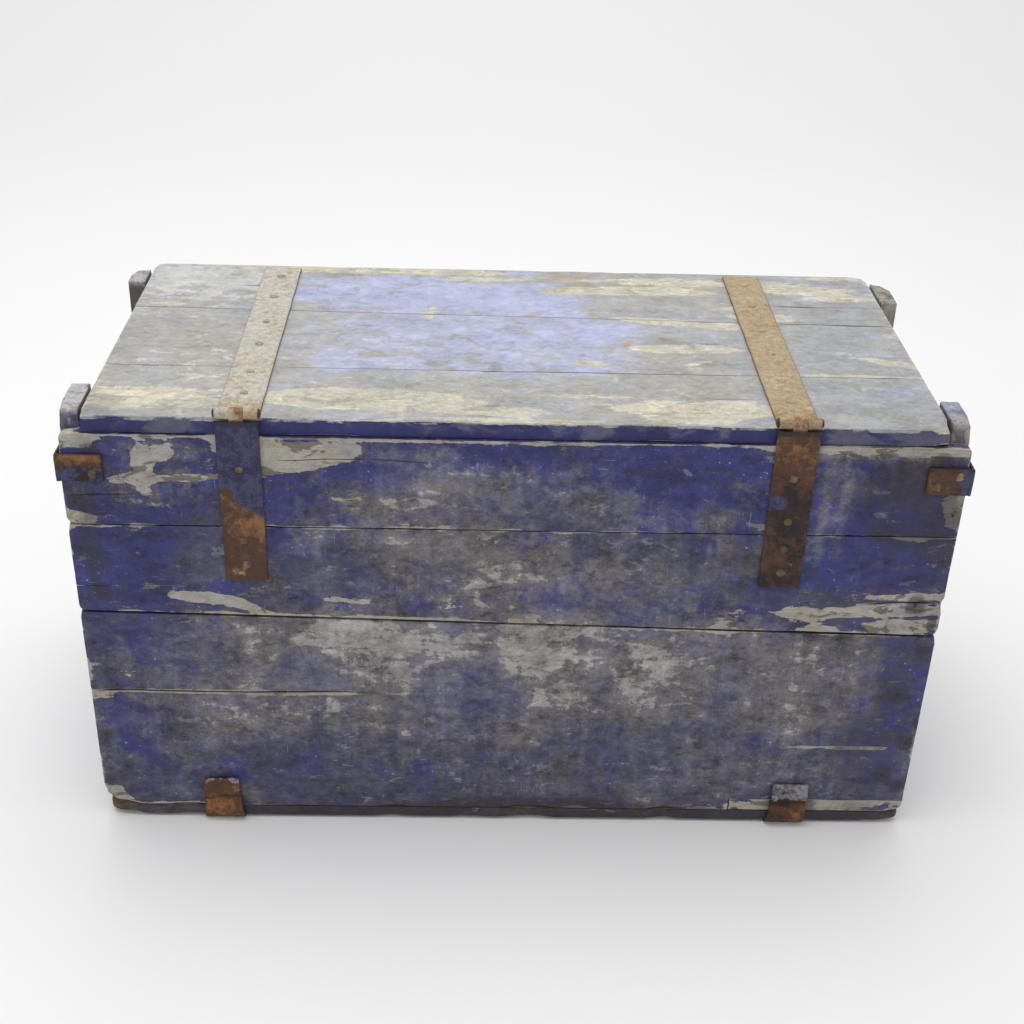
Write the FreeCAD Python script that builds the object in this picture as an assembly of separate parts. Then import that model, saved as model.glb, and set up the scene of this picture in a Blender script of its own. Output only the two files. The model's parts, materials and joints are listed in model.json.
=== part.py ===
"""Plank transport chest with a strap-hinged lid, an iron hasp and two drop handles.

Millimetres, +Z up. The origin is on the floor under the middle of the wooden chest.
X runs along the length. The lid hinges on the -Y side and fastens on the +Y side.
Each sub-part is one node, written to parts/NODE.step.
"""

import FreeCAD, Part
import math
import os

from FreeCAD import Vector

# ---- chest ---------------------------------------------------------------------
LENGTH = 760.0  # over the ends of the side boards
DEPTH = 348.5  # over the two side boards
BOARD = 15.5  # thickness of side, end and lid boards
LID_TOP = 425.0  # top of the lid above the floor
SIDE_TOP = LID_TOP - BOARD
BOTTOM_STRAP = 2.5  # thickness of the irons the chest stands on
BOTTOM_BOARD = 12.0
SIDE_FOOT = BOTTOM_STRAP + BOTTOM_BOARD
FACE = DEPTH / 2  # |y| of both long faces
HALF = LENGTH / 2
TIGHT = 0.3  # gap of a tight seam
OPEN_SEAM = 1.4  # gap of the seam that has dried open
UPPER_SEAM = 323.3
HINGE_SEAM = (235.0, 220.0)  # height of the open seam at the left and right ends
LATCH_SEAM = (221.0, 230.0)
END_SEAMS = (148.0, 283.0)
BOTTOM_SEAMS = (-60.0, 58.0)
LATH_HEIGHT = 14.5  # repair lath let into the lower right corner of the hinge side
LATH_START = 212.0

# ---- corner battens -------------------------------------------------------------
BATTEN = 17.0  # thickness, outside the end boards
BATTEN_WIDTHS = {  # each one was sawn to its own width
    "hinge_left": 50.0,
    "hinge_right": 45.0,
    "latch_left": 35.0,
    "latch_right": 53.0,
}
END_OUTER = HALF - BATTEN
END_INNER = END_OUTER - BOARD

# ---- lid ------------------------------------------------------------------------
LID_SIDE_GAP = 2.5  # between the lid's ends and the battens
LID_SETBACK = 3.5  # of the lid's edge behind the hinge face
LID_HALF = END_OUTER - LID_SIDE_GAP
LID_SEAM_NEAR = (-70.2, -70.2)  # y of the lid's seams at its left and right ends
LID_SEAM_FAR = (61.0, 46.0)
CLEAT_SIZE = (40.0, 15.0)  # width and thickness of the cleats under the lid
CLEAT_HALF = 152.0

# ---- strap hinges ---------------------------------------------------------------
STRAP_X = 231.0
STRAP_WIDTH = 36.0
STRAP = 2.4  # thickness of all the strap iron
PIN_R = 2.2
RUNNING = 0.05  # radial clearance of the pins
PIN_HEAD = (3.6, 1.6)  # radius and thickness of a pin's peened heads
BARREL_R = PIN_R + RUNNING + STRAP
AXIS_Y = -FACE - STRAP + BARREL_R
AXIS_Z = LID_TOP + BARREL_R + 0.25
KNUCKLE_GAP = 0.4
LID_STRAP_END = 162.0
LEAF_FOOT = 271.5
LID_NAIL_Y = (-128.0, -86.0, -28.0, 24.0, 84.0, 138.0)
LEAF_NAIL_Z = (287.0, 311.0, 338.0, 380.0)

# ---- corner and bottom irons ----------------------------------------------------
CORNER_LEG = 36.0
CORNER_HEIGHT = 25.0
CORNER_Z = 379.0
BOTTOM_X = 269.0
BOTTOM_WIDTH = 35.0
BOTTOM_LEG_TOP = 50.0

# ---- hasp -----------------------------------------------------------------------
HASP_WIDTH = 38.0
HASP_PIN_R = 2.0
HASP_BARREL_R = HASP_PIN_R + RUNNING + STRAP
HASP_REACH = 45.0  # from the hasp's pin to the middle of its slot
HASP_LENGTH = 52.0
HASP_PLATE = 42.0
HASP_CORNER_R = 8.0
HASP_PIN_HEAD = (3.4, 1.4)
SLOT = (23.0, 8.0)
STAPLE_Z = LID_TOP - BOARD / 2
STAPLE_LEGS = 14.0
STAPLE_WIRE_R = 2.25
STAPLE_REACH = 11.0
STAPLE_ROOT = 26.0  # length of its legs in the lid
STAPLE_BEND = 4.5
HASP_AXIS_Y = FACE + HASP_BARREL_R
HASP_AXIS_Z = STAPLE_Z - HASP_REACH

# ---- drop handles ---------------------------------------------------------------
HANDLE_Z = 292.0
HANDLE_X = END_OUTER + 8.5
BAIL_R = 4.0
BAIL_HALF = 56.0
BAIL_DROP = 60.0
BAIL_STUB = 74.0
EYE_BORE = BAIL_R + 0.08
EYE_R = 8.0
EYE_Y = 66.5
EYE_WIDTH = 8.0
EYE_SHANK = 7.0  # side of its square shank
EYE_CLENCH = (8.0, 2.0)  # radius and height of its clenched end inside the chest
BAIL_BENDS = (6.0, 18.0, 18.0, 6.0)
BAIL_KNOB = (1.6, 2.0)  # of the upset ends that keep the bail in its eyes

# ---- nails ----------------------------------------------------------------------
NAIL_HEAD = (3.6, 1.4)  # radius and height of a clout nail's head
NAIL_SHANK = 1.4
BRAD_HEAD = (2.3, 1.2)  # flush heads of the nails in the boards
BRAD_SHANK = 1.2
LID_NAIL = 30.0  # lengths
IRON_NAIL = 16.0
BOTTOM_NAIL = 15.0
SIDE_NAIL = 42.0
END_NAIL = 28.0
FLOOR_NAIL = 34.0
CORNER_NAILS = ((9.0, 5.0), (27.0, -5.0))  # in from the chest's end, up from the middle
BOTTOM_NAIL_Z = (24.0, 41.0)
HASP_NAILS = ((-11.0, 14.0), (-11.0, 32.0), (11.0, 14.0), (11.0, 32.0))  # x, below the pin
INTO_BATTEN_Z = (45.0, 98.0, 201.0, 300.0, 345.0)
INTO_END_Z = (60.0, 154.0, 253.0, 396.0)
BATTEN_NAIL_Z = (40.0, 120.0, 175.0, 262.0, 310.0, 392.0)
FLOOR_NAIL_X = (90.0, 180.0, 320.0)
FLOOR_NAIL_Y = (-95.0, -25.0, 25.0, 95.0)

nodes = {}
LEFT_RIGHT = (("left", -1), ("right", 1))
HINGE_LATCH = (("hinge", -1), ("latch", 1))
SEATED = (  # beginnings of the names of nodes that fasteners go through
    "hinge_side_board",
    "latch_side_board",
    "repair_lath",
    "left_end_board",
    "right_end_board",
    "batten",
    "bottom_board",
    "bottom_strap",
    "lid_board",
    "lid_cleat",
    "lid_strap",
    "hinge_leaf",
    "corner_iron",
    "hasp_plate",
)


def box(x, y, z):
    """A box from (low, high) pairs along each axis."""
    corner = Vector(min(x), min(y), min(z))
    return Part.makeBox(abs(x[1] - x[0]), abs(y[1] - y[0]), abs(z[1] - z[0]), corner)


def prism(points, along):
    """A flat polygon swept along a vector."""
    wire = Part.makePolygon(points + points[:1])
    return Part.Face(wire).extrude(along)


def rod(start, end, radius):
    way = end - start
    return Part.makeCylinder(radius, way.Length, start, way)


def nail(at, into, length, head, shank, sunk=False):
    """A nail whose head stands on the surface, or is flush with it when sunk."""
    radius, height = head
    into = Vector(into).normalize()
    start = at if sunk else at - into * height
    body = rod(start, start + into * height, radius)
    if not sunk:
        rim = [e for e in body.Edges if abs((e.CenterOfMass - start).Length) < 1e-6]
        body = body.makeFillet(height * 0.7, rim)
    shank_end = at + into * length
    return body.fuse(rod(start + into * height, shank_end, shank))


def clout(at, into, length):
    return nail(at, into, length, NAIL_HEAD, NAIL_SHANK)


def brad(at, into, length):
    return nail(at, into, length, BRAD_HEAD, BRAD_SHANK, sunk=True)


def side_boards(side, name, seam):
    """The three full-length boards of a long side; side is -1 for the hinge side."""
    inner = side * (FACE - BOARD)
    thickness = Vector(0, side * BOARD, 0)

    def board(low, high):
        outline = [(-HALF, low[0]), (HALF, low[1]), (HALF, high[1]), (-HALF, high[0])]
        return prism([Vector(x, inner, z) for x, z in outline], thickness)

    left, right = seam
    half_gap = OPEN_SEAM / 2
    nodes[name + "_board_upper"] = board(
        (UPPER_SEAM + TIGHT,) * 2, (SIDE_TOP, SIDE_TOP)
    )
    nodes[name + "_board_middle"] = board(
        (left + half_gap, right + half_gap), (UPPER_SEAM,) * 2
    )
    nodes[name + "_board_lower"] = board(
        (SIDE_FOOT,) * 2, (left - half_gap, right - half_gap)
    )


def repair_lath():
    """A lath that fills the split-off lower edge of the hinge side's lower board."""
    inner = -FACE + BOARD
    top = SIDE_FOOT + LATH_HEIGHT
    notch = box((LATH_START, HALF), (-FACE, inner), (SIDE_FOOT, top))
    board = nodes["hinge_side_board_lower"]
    nodes["hinge_side_board_lower"] = board.cut(notch)
    nodes["repair_lath"] = box(
        (LATH_START + TIGHT, HALF), (-FACE, inner), (SIDE_FOOT, top - TIGHT)
    )


def end_boards(side, name):
    levels = (SIDE_FOOT,) + END_SEAMS + (SIDE_TOP,)
    between = FACE - BOARD
    for word, low, high in zip(("lower", "middle", "upper"), levels, levels[1:]):
        top = high if high == SIDE_TOP else high - TIGHT
        nodes[f"{name}_end_board_{word}"] = box(
            (side * END_INNER, side * END_OUTER), (-between, between), (low, top)
        )


def battens():
    """Upright corner battens outside the end boards, as high as the lid's top."""
    for end, x_side in LEFT_RIGHT:
        for face, y_side in HINGE_LATCH:
            width = BATTEN_WIDTHS[f"{face}_{end}"]
            outer = y_side * (FACE - BOARD)
            nodes[f"batten_{face}_{end}"] = box(
                (x_side * END_OUTER, x_side * HALF),
                (outer, outer - y_side * width),
                (SIDE_FOOT, LID_TOP),
            )


def bottom_boards():
    edges = (-FACE,) + BOTTOM_SEAMS + (FACE,)
    words = ("hinge_side", "middle", "latch_side")
    for word, low, high in zip(words, edges, edges[1:]):
        far = high if high == FACE else high - TIGHT
        nodes["bottom_board_" + word] = box(
            (-HALF, HALF), (low, far), (BOTTOM_STRAP, SIDE_FOOT)
        )


def lid_boards():
    near, far = LID_SEAM_NEAR, LID_SEAM_FAR
    edges = (
        ("hinge_side", (-FACE + LID_SETBACK,) * 2, near),
        ("middle", (near[0] + TIGHT, near[1] + TIGHT), far),
        ("latch_side", (far[0] + TIGHT, far[1] + TIGHT), (FACE, FACE)),
    )
    for word, low, high in edges:
        outline = [
            (-LID_HALF, low[0]),
            (LID_HALF, low[1]),
            (LID_HALF, high[1]),
            (-LID_HALF, high[0]),
        ]
        points = [Vector(x, y, SIDE_TOP) for x, y in outline]
        nodes["lid_board_" + word] = prism(points, Vector(0, 0, BOARD))


def lid_cleats():
    width, thickness = CLEAT_SIZE
    for word, side in LEFT_RIGHT:
        middle = side * STRAP_X
        nodes["lid_cleat_" + word] = box(
            (middle - width / 2, middle + width / 2),
            (-CLEAT_HALF, CLEAT_HALF),
            (SIDE_TOP - thickness, SIDE_TOP),
        )


def knuckles(middle, width, count=3):
    """(low x, high x) of each knuckle of a barrel, with a small gap between them."""
    each = (width - KNUCKLE_GAP * (count - 1)) / count
    start = middle - width / 2
    step = each + KNUCKLE_GAP
    return [(start + i * step, start + i * step + each) for i in range(count)]


def rolled_leaf(flat, spans, others, axis, bore, outer):
    """A flat leaf with eyes rolled round an axis along X, clear of the other leaf's."""
    y, z = axis
    leaf = flat
    for low, high in spans:
        leaf = leaf.fuse(rod(Vector(low, y, z), Vector(high, y, z), outer))
    for low, high in others:
        clear = rod(
            Vector(low - KNUCKLE_GAP, y, z),
            Vector(high + KNUCKLE_GAP, y, z),
            outer + KNUCKLE_GAP,
        )
        leaf = leaf.cut(clear)
    span = [v for pair in spans + others for v in pair]
    hole = rod(Vector(min(span) - 1, y, z), Vector(max(span) + 1, y, z), bore)
    return leaf.cut(hole).removeSplitter()


def hinge_pin(low, high, axis, radius, head):
    """A pin with a peened head at each end."""
    y, z = axis
    head_r, head_t = head
    pin = rod(Vector(low, y, z), Vector(high, y, z), radius)
    for x, way in ((low, -1), (high, 1)):
        pin = pin.fuse(rod(Vector(x, y, z), Vector(x + way * head_t, y, z), head_r))
    return pin


def strap_hinges():
    """A long leaf across the lid and a shorter one down the chest, on each side."""
    axis = (AXIS_Y, AXIS_Z)
    bore = PIN_R + RUNNING
    for word, side in LEFT_RIGHT:
        middle = side * STRAP_X
        edges = (middle - STRAP_WIDTH / 2, middle + STRAP_WIDTH / 2)
        first, centre, last = knuckles(middle, STRAP_WIDTH)
        lid_flat = box(edges, (AXIS_Y, LID_STRAP_END), (LID_TOP, LID_TOP + STRAP))
        nodes["lid_strap_" + word] = rolled_leaf(
            lid_flat, [first, last], [centre], axis, bore, BARREL_R
        )
        leaf_flat = box(edges, (-FACE - STRAP, -FACE), (LEAF_FOOT, AXIS_Z))
        nodes["hinge_leaf_" + word] = rolled_leaf(
            leaf_flat, [centre], [first, last], axis, bore, BARREL_R
        )
        gap = KNUCKLE_GAP / 2
        nodes["hinge_pin_" + word] = hinge_pin(
            edges[0] - gap, edges[1] + gap, axis, PIN_R, PIN_HEAD
        )


def corner_irons():
    """Flat irons bent round the upper corners, over the side boards and battens."""
    outer, half = STRAP, CORNER_HEIGHT / 2
    levels = (CORNER_Z - half, CORNER_Z + half)
    for end, x_side in LEFT_RIGHT:
        for face, y_side in HINGE_LATCH:
            x, y = x_side * HALF, y_side * FACE
            x_out, y_out = x + x_side * outer, y + y_side * outer
            on_side = box((x - x_side * CORNER_LEG, x_out), (y, y_out), levels)
            on_end = box((x, x_out), (y_out, y - y_side * CORNER_LEG), levels)
            iron = on_side.fuse(on_end).removeSplitter()
            bend = [
                e
                for e in iron.Edges
                if abs(e.CenterOfMass.x - x_out) < 1e-6
                and abs(e.CenterOfMass.y - y_out) < 1e-6
            ]
            nodes[f"corner_iron_{face}_{end}"] = iron.makeFillet(outer, bend)


def bottom_straps():
    """Irons that pass under the chest and up both long faces; it stands on them."""
    t = BOTTOM_STRAP
    for word, side in LEFT_RIGHT:
        middle = side * BOTTOM_X
        edges = (middle - BOTTOM_WIDTH / 2, middle + BOTTOM_WIDTH / 2)
        outside = box(edges, (-FACE - t, FACE + t), (0, BOTTOM_LEG_TOP))
        bends = [
            e
            for e in outside.Edges
            if abs(e.CenterOfMass.z) < 1e-6 and abs(e.CenterOfMass.x - middle) < 1e-6
        ]
        outside = outside.makeFillet(t, bends)
        inside = box(edges, (-FACE, FACE), (t, BOTTOM_LEG_TOP))
        nodes["bottom_strap_" + word] = outside.cut(inside)


def hasp():
    """A slotted leaf on a nailed plate, and the staple in the lid's edge it closes on."""
    axis = (HASP_AXIS_Y, HASP_AXIS_Z)
    bore = HASP_PIN_R + RUNNING
    edges = (-HASP_WIDTH / 2, HASP_WIDTH / 2)
    first, centre, last = knuckles(0, HASP_WIDTH)
    plate = box(edges, (FACE, FACE + STRAP), (HASP_AXIS_Z - HASP_PLATE, HASP_AXIS_Z))
    nodes["hasp_plate"] = rolled_leaf(
        plate, [first, last], [centre], axis, bore, HASP_BARREL_R
    )
    hanging = HASP_AXIS_Y + HASP_BARREL_R - STRAP
    leaf = box(edges, (hanging, hanging + STRAP), (HASP_AXIS_Z - HASP_LENGTH, HASP_AXIS_Z))
    rounded = [
        e
        for e in leaf.Edges
        if abs(e.CenterOfMass.z - (HASP_AXIS_Z - HASP_LENGTH)) < 1e-6
        and abs(abs(e.CenterOfMass.x) - HASP_WIDTH / 2) < 1e-6
    ]
    leaf = leaf.makeFillet(HASP_CORNER_R, rounded)
    slot_z = HASP_AXIS_Z - HASP_REACH
    slot = box(
        (-SLOT[0] / 2, SLOT[0] / 2),
        (hanging - 1, hanging + STRAP + 1),
        (slot_z - SLOT[1] / 2, slot_z + SLOT[1] / 2),
    )
    nodes["hasp_leaf"] = rolled_leaf(
        leaf.cut(slot), [centre], [first, last], axis, bore, HASP_BARREL_R
    )
    gap = KNUCKLE_GAP / 2
    nodes["hasp_pin"] = hinge_pin(
        edges[0] - gap, edges[1] + gap, axis, HASP_PIN_R, HASP_PIN_HEAD
    )


def bent_rod(points, radii, radius):
    """A round rod along straight runs joined by tangent arcs of the given radii."""
    edges = []
    start = points[0]
    for before, at, after, bend in zip(points, points[1:], points[2:], radii):
        back = (before - at).normalize()
        on = (after - at).normalize()
        reach = bend / math.tan(back.getAngle(on) / 2)
        enter, leave = at + back * reach, at + on * reach
        inward = (back + on).normalize()
        middle = at + inward * (bend / math.sin(back.getAngle(on) / 2) - bend)
        edges.append(Part.LineSegment(start, enter).toShape())
        edges.append(Part.Arc(enter, middle, leave).toShape())
        start = leave
    edges.append(Part.LineSegment(start, points[-1]).toShape())
    way = (points[1] - points[0]).normalize()
    ring = Part.Wire(Part.makeCircle(radius, points[0], way))
    return Part.Wire(edges).makePipeShell([ring], True, True)


def lid_staple():
    """A wire staple driven into the middle of the lid's free edge."""
    x, tip = STAPLE_LEGS / 2, FACE + STAPLE_REACH - STAPLE_WIRE_R
    root = FACE - STAPLE_ROOT
    points = [
        Vector(-x, root, STAPLE_Z),
        Vector(-x, tip, STAPLE_Z),
        Vector(x, tip, STAPLE_Z),
        Vector(x, root, STAPLE_Z),
    ]
    nodes["lid_staple"] = bent_rod(points, (STAPLE_BEND,) * 2, STAPLE_WIRE_R)


def drop_handles():
    """Round-bar bails that hang in forged eyes between the battens."""
    for word, side in LEFT_RIGHT:
        x = side * HANDLE_X
        outline = [
            (-BAIL_STUB, 0),
            (-BAIL_HALF, 0),
            (-BAIL_HALF, -BAIL_DROP),
            (BAIL_HALF, -BAIL_DROP),
            (BAIL_HALF, 0),
            (BAIL_STUB, 0),
        ]
        points = [Vector(x, y, HANDLE_Z + dz) for y, dz in outline]
        bail = bent_rod(points, BAIL_BENDS, BAIL_R)
        proud, long = BAIL_KNOB
        for way in (-1, 1):
            end = Vector(x, way * BAIL_STUB, HANDLE_Z)
            bail = bail.fuse(rod(end, end + Vector(0, way * long, 0), BAIL_R + proud))
        nodes["handle_" + word] = bail.removeSplitter()
        eyes = [handle_eye(side, y) for y in (-EYE_Y, EYE_Y)]
        nodes["handle_eyes_" + word] = Part.makeCompound(eyes)


def handle_eye(side, y):
    """A ring on a square shank that passes through the end board and is clenched."""
    x = side * HANDLE_X
    low, high = y - EYE_WIDTH / 2, y + EYE_WIDTH / 2
    ring = rod(Vector(x, low, HANDLE_Z), Vector(x, high, HANDLE_Z), EYE_R)
    clench_r, clench_t = EYE_CLENCH
    inside = side * (END_INNER - clench_t)
    half = EYE_SHANK / 2
    shank = box((inside, x), (y - half, y + half), (HANDLE_Z - half, HANDLE_Z + half))
    inner_face = Vector(side * END_INNER, y, HANDLE_Z)
    clench = rod(inner_face, Vector(inside, y, HANDLE_Z), clench_r)
    eye = ring.fuse(shank).fuse(clench)
    bore = rod(Vector(x, low - 1, HANDLE_Z), Vector(x, high + 1, HANDLE_Z), EYE_BORE)
    return eye.cut(bore).removeSplitter()


def nail_groups():
    """Every nail, in groups of one kind of fastening."""
    group("lid_strap_nails", lid_strap_nails())
    group("hinge_leaf_nails", hinge_leaf_nails())
    group("corner_iron_nails", corner_iron_nails())
    group("bottom_strap_nails", bottom_strap_nails())
    group("hasp_nails", hasp_nails())
    group("side_board_nails", side_board_nails())
    group("end_board_nails", end_board_nails())
    group("bottom_board_nails", bottom_board_nails())


def group(name, nails):
    nodes[name] = Part.makeCompound(list(nails))


def corners():
    """(x side, y side, batten width) of each corner of the chest."""
    for end, x_side in LEFT_RIGHT:
        for face, y_side in HINGE_LATCH:
            yield x_side, y_side, BATTEN_WIDTHS[f"{face}_{end}"]


def lid_strap_nails():
    for _, side in LEFT_RIGHT:
        for y in LID_NAIL_Y:
            at = Vector(side * STRAP_X, y, LID_TOP + STRAP)
            yield clout(at, Vector(0, 0, -1), LID_NAIL)


def hinge_leaf_nails():
    for _, side in LEFT_RIGHT:
        for z in LEAF_NAIL_Z:
            at = Vector(side * STRAP_X, -FACE - STRAP, z)
            yield clout(at, Vector(0, 1, 0), IRON_NAIL)


def corner_iron_nails():
    for x_side, y_side, _ in corners():
        for inset, rise in CORNER_NAILS:
            at = Vector(x_side * (HALF - inset), y_side * (FACE + STRAP), CORNER_Z + rise)
            yield clout(at, Vector(0, -y_side, 0), IRON_NAIL)
        inset, rise = CORNER_NAILS[1]
        at = Vector(x_side * (HALF + STRAP), y_side * (FACE - inset), CORNER_Z + rise)
        yield clout(at, Vector(-x_side, 0, 0), IRON_NAIL)


def bottom_strap_nails():
    for x_side, y_side, _ in corners():
        for z in BOTTOM_NAIL_Z:
            at = Vector(x_side * BOTTOM_X, y_side * (FACE + BOTTOM_STRAP), z)
            yield clout(at, Vector(0, -y_side, 0), BOTTOM_NAIL)


def hasp_nails():
    for x, below in HASP_NAILS:
        at = Vector(x, FACE + STRAP, HASP_AXIS_Z - below)
        yield clout(at, Vector(0, -1, 0), IRON_NAIL)


def side_board_nails():
    """Nails through the side boards into the battens and the ends of the end boards."""
    into_batten = HALF - BATTEN / 2
    into_end = END_OUTER - BOARD / 2
    for x_side, y_side, _ in corners():
        for x, levels in ((into_batten, INTO_BATTEN_Z), (into_end, INTO_END_Z)):
            for z in levels:
                at = Vector(x_side * x, y_side * FACE, z)
                yield brad(at, Vector(0, -y_side, 0), SIDE_NAIL)


def end_board_nails():
    """Nails through the battens into the end boards."""
    for x_side, y_side, width in corners():
        for z in BATTEN_NAIL_Z:
            at = Vector(x_side * HALF, y_side * (FACE - BOARD - width / 2), z)
            yield brad(at, Vector(-x_side, 0, 0), END_NAIL)


def bottom_board_nails():
    """Nails up through the bottom boards into the side and end boards."""
    up = Vector(0, 0, 1)
    for x_side, y_side, _ in corners():
        for x in FLOOR_NAIL_X:
            at = Vector(x_side * x, y_side * (FACE - BOARD / 2), BOTTOM_STRAP)
            yield brad(at, up, FLOOR_NAIL)
    for _, x_side in LEFT_RIGHT:
        for y in FLOOR_NAIL_Y:
            at = Vector(x_side * (END_OUTER - BOARD / 2), y, BOTTOM_STRAP)
            yield brad(at, up, FLOOR_NAIL)


def seat_fasteners():
    """Give every board and iron the holes that its nails, staples and eyes fill."""
    fillers = [n for n in nodes if n.endswith("_nails") or "handle_eyes" in n]
    fillers.append("lid_staple")
    solids = [s for name in fillers for s in nodes[name].Solids]
    for name, shape in nodes.items():
        if name in fillers or not name.startswith(SEATED):
            continue
        near = [s for s in solids if s.BoundBox.intersect(shape.BoundBox)]
        if near:
            nodes[name] = shape.cut(near)


def build():
    side_boards(-1, "hinge_side", HINGE_SEAM)
    side_boards(1, "latch_side", LATCH_SEAM)
    repair_lath()
    end_boards(-1, "left")
    end_boards(1, "right")
    battens()
    bottom_boards()
    lid_boards()
    lid_cleats()
    strap_hinges()
    corner_irons()
    bottom_straps()
    hasp()
    lid_staple()
    drop_handles()
    nail_groups()
    seat_fasteners()


def write():
    os.makedirs("parts", exist_ok=True)
    for name, shape in nodes.items():
        if not shape.isValid():
            raise ValueError(f"{name} is not a valid shape")
        shape.exportStep(f"parts/{name}.step")
        print(name, len(shape.Solids), "solids", round(shape.Volume), "mm3")
    print(len(nodes), "nodes")


build()
write()
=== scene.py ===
"""Looks of the plank transport chest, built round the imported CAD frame.

Metres, +Z up, in the frame of the part: X along the length, the strap hinges on -Y.
Boards are grids with worn arrises, grain relief and splits; irons are grids bent along a
path; the paint, bare wood and rust are node materials steered by a few vertex fields.
"""

import json
import math

import bpy
import numpy as np
from mathutils import Matrix, Vector

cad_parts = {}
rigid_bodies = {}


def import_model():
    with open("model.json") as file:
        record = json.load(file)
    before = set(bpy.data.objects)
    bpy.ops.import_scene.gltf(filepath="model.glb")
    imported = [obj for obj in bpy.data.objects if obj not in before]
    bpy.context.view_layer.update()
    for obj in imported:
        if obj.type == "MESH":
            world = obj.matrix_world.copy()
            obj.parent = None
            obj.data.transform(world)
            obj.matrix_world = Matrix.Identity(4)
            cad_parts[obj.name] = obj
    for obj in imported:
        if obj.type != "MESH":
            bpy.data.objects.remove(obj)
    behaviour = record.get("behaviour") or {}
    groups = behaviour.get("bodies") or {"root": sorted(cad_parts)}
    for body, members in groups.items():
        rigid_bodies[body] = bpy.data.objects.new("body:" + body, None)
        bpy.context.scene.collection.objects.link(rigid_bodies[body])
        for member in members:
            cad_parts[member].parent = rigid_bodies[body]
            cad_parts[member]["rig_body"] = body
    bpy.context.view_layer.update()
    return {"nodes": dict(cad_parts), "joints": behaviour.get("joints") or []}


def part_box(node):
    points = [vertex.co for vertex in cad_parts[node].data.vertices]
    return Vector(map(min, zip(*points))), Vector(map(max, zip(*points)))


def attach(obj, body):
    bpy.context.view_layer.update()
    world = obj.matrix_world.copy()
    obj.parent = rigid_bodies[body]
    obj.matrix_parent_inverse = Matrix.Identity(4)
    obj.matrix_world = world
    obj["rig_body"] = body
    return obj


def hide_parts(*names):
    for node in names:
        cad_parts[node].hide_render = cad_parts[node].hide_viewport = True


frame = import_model()
nodes = frame["nodes"]
BODY_OF = {n: o["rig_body"] for n, o in nodes.items()}
AXIS = {"x": 0, "y": 1, "z": 2}
MM = 0.001
ENDS = (("left", -1), ("right", 1))  # the chest's two ends and their direction along X

# ---- noise ----


def lattice_value(ix, iy, iz, seed):
    """A fixed pseudo-random number from 0 to 1 for each whole-number point."""
    n = (ix * 374761393 + iy * 668265263 + iz * 2147483647 + seed * 974711) & 0xFFFFFFFF
    n = ((n ^ (n >> 13)) * 1274126177) & 0xFFFFFFFF
    return ((n ^ (n >> 16)) & 0xFFFFFF) / 0xFFFFFF


def noise(points, seed=0):
    """Smooth value noise from -1 to 1 with cells of size 1."""
    whole = np.floor(points).astype(np.int64)
    part = points - whole
    part = part * part * (3 - 2 * part)
    total = np.zeros(len(points))
    for corner in range(8):
        step = np.array([corner & 1, corner >> 1 & 1, corner >> 2])
        weight = np.prod(np.where(step, part, 1 - part), axis=1)
        at = whole + step
        total += weight * lattice_value(at[:, 0], at[:, 1], at[:, 2], seed)
    return 2 * total - 1


def rough_noise(points, seed=0):
    """Three octaves of noise, each half as large and half as strong as the last."""
    sizes = (1.0, 0.5, 0.25)
    total = sum(size * noise(points / size, seed + 31 * i) for i, size in enumerate(sizes))
    return total / sum(sizes)


def smooth(value, low, high):
    """A soft step from 0 at low to 1 at high."""
    t = np.clip((value - low) / (high - low), 0, 1)
    return t * t * (3 - 2 * t)


# ---- meshes ----


def lines(low, high, step, edge=(0.5, 1.2, 2.4), extra=()):
    """Grid lines from low to high, crowded near both ends and round the extra places."""
    count = max(2, round((high - low) / step))
    inner = np.linspace(low, high, count + 1)
    near = [v * MM for v in edge if v * MM < (high - low) / 3]
    crowd = [low + v for v in near] + [high - v for v in near]
    crowd += [v for v in extra if low < v < high]
    keep = [v for v in inner[1:-1] if all(abs(v - c) > step * 0.3 for c in crowd)]
    return np.array(sorted(set([low, high] + keep + crowd)))


def shell(xs, ys, zs, solid=None):
    """The closed quad surface of a block of cells; solid says which cells are filled."""
    shape = (len(xs) - 1, len(ys) - 1, len(zs) - 1)
    filled = np.zeros(tuple(s + 2 for s in shape), bool)
    filled[1:-1, 1:-1, 1:-1] = True if solid is None else solid
    quads = []
    turns = (((0, 0, 0), (0, 1, 0), (0, 1, 1), (0, 0, 1)),
             ((0, 0, 0), (0, 0, 1), (1, 0, 1), (1, 0, 0)),
             ((0, 0, 0), (1, 0, 0), (1, 1, 0), (0, 1, 0)))
    for axis, ring in enumerate(turns):
        before = np.take(filled, range(filled.shape[axis] - 1), axis)
        after = np.take(filled, range(1, filled.shape[axis]), axis)
        trim = [slice(1, -1)] * 3
        trim[axis] = slice(None)
        for mask, order in ((before & ~after, ring), (~before & after, ring[::-1])):
            cells = np.argwhere(mask[tuple(trim)])
            quads.append(cells[:, None, :] + np.array(order)[None])
    quads = np.concatenate(quads)
    flat = (quads[..., 0] * len(ys) + quads[..., 1]) * len(zs) + quads[..., 2]
    used, faces = np.unique(flat, return_inverse=True)
    i, rest = np.divmod(used, len(ys) * len(zs))
    j, k = np.divmod(rest, len(zs))
    return np.stack([xs[i], ys[j], zs[k]], 1), faces.reshape(-1, 4)


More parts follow.
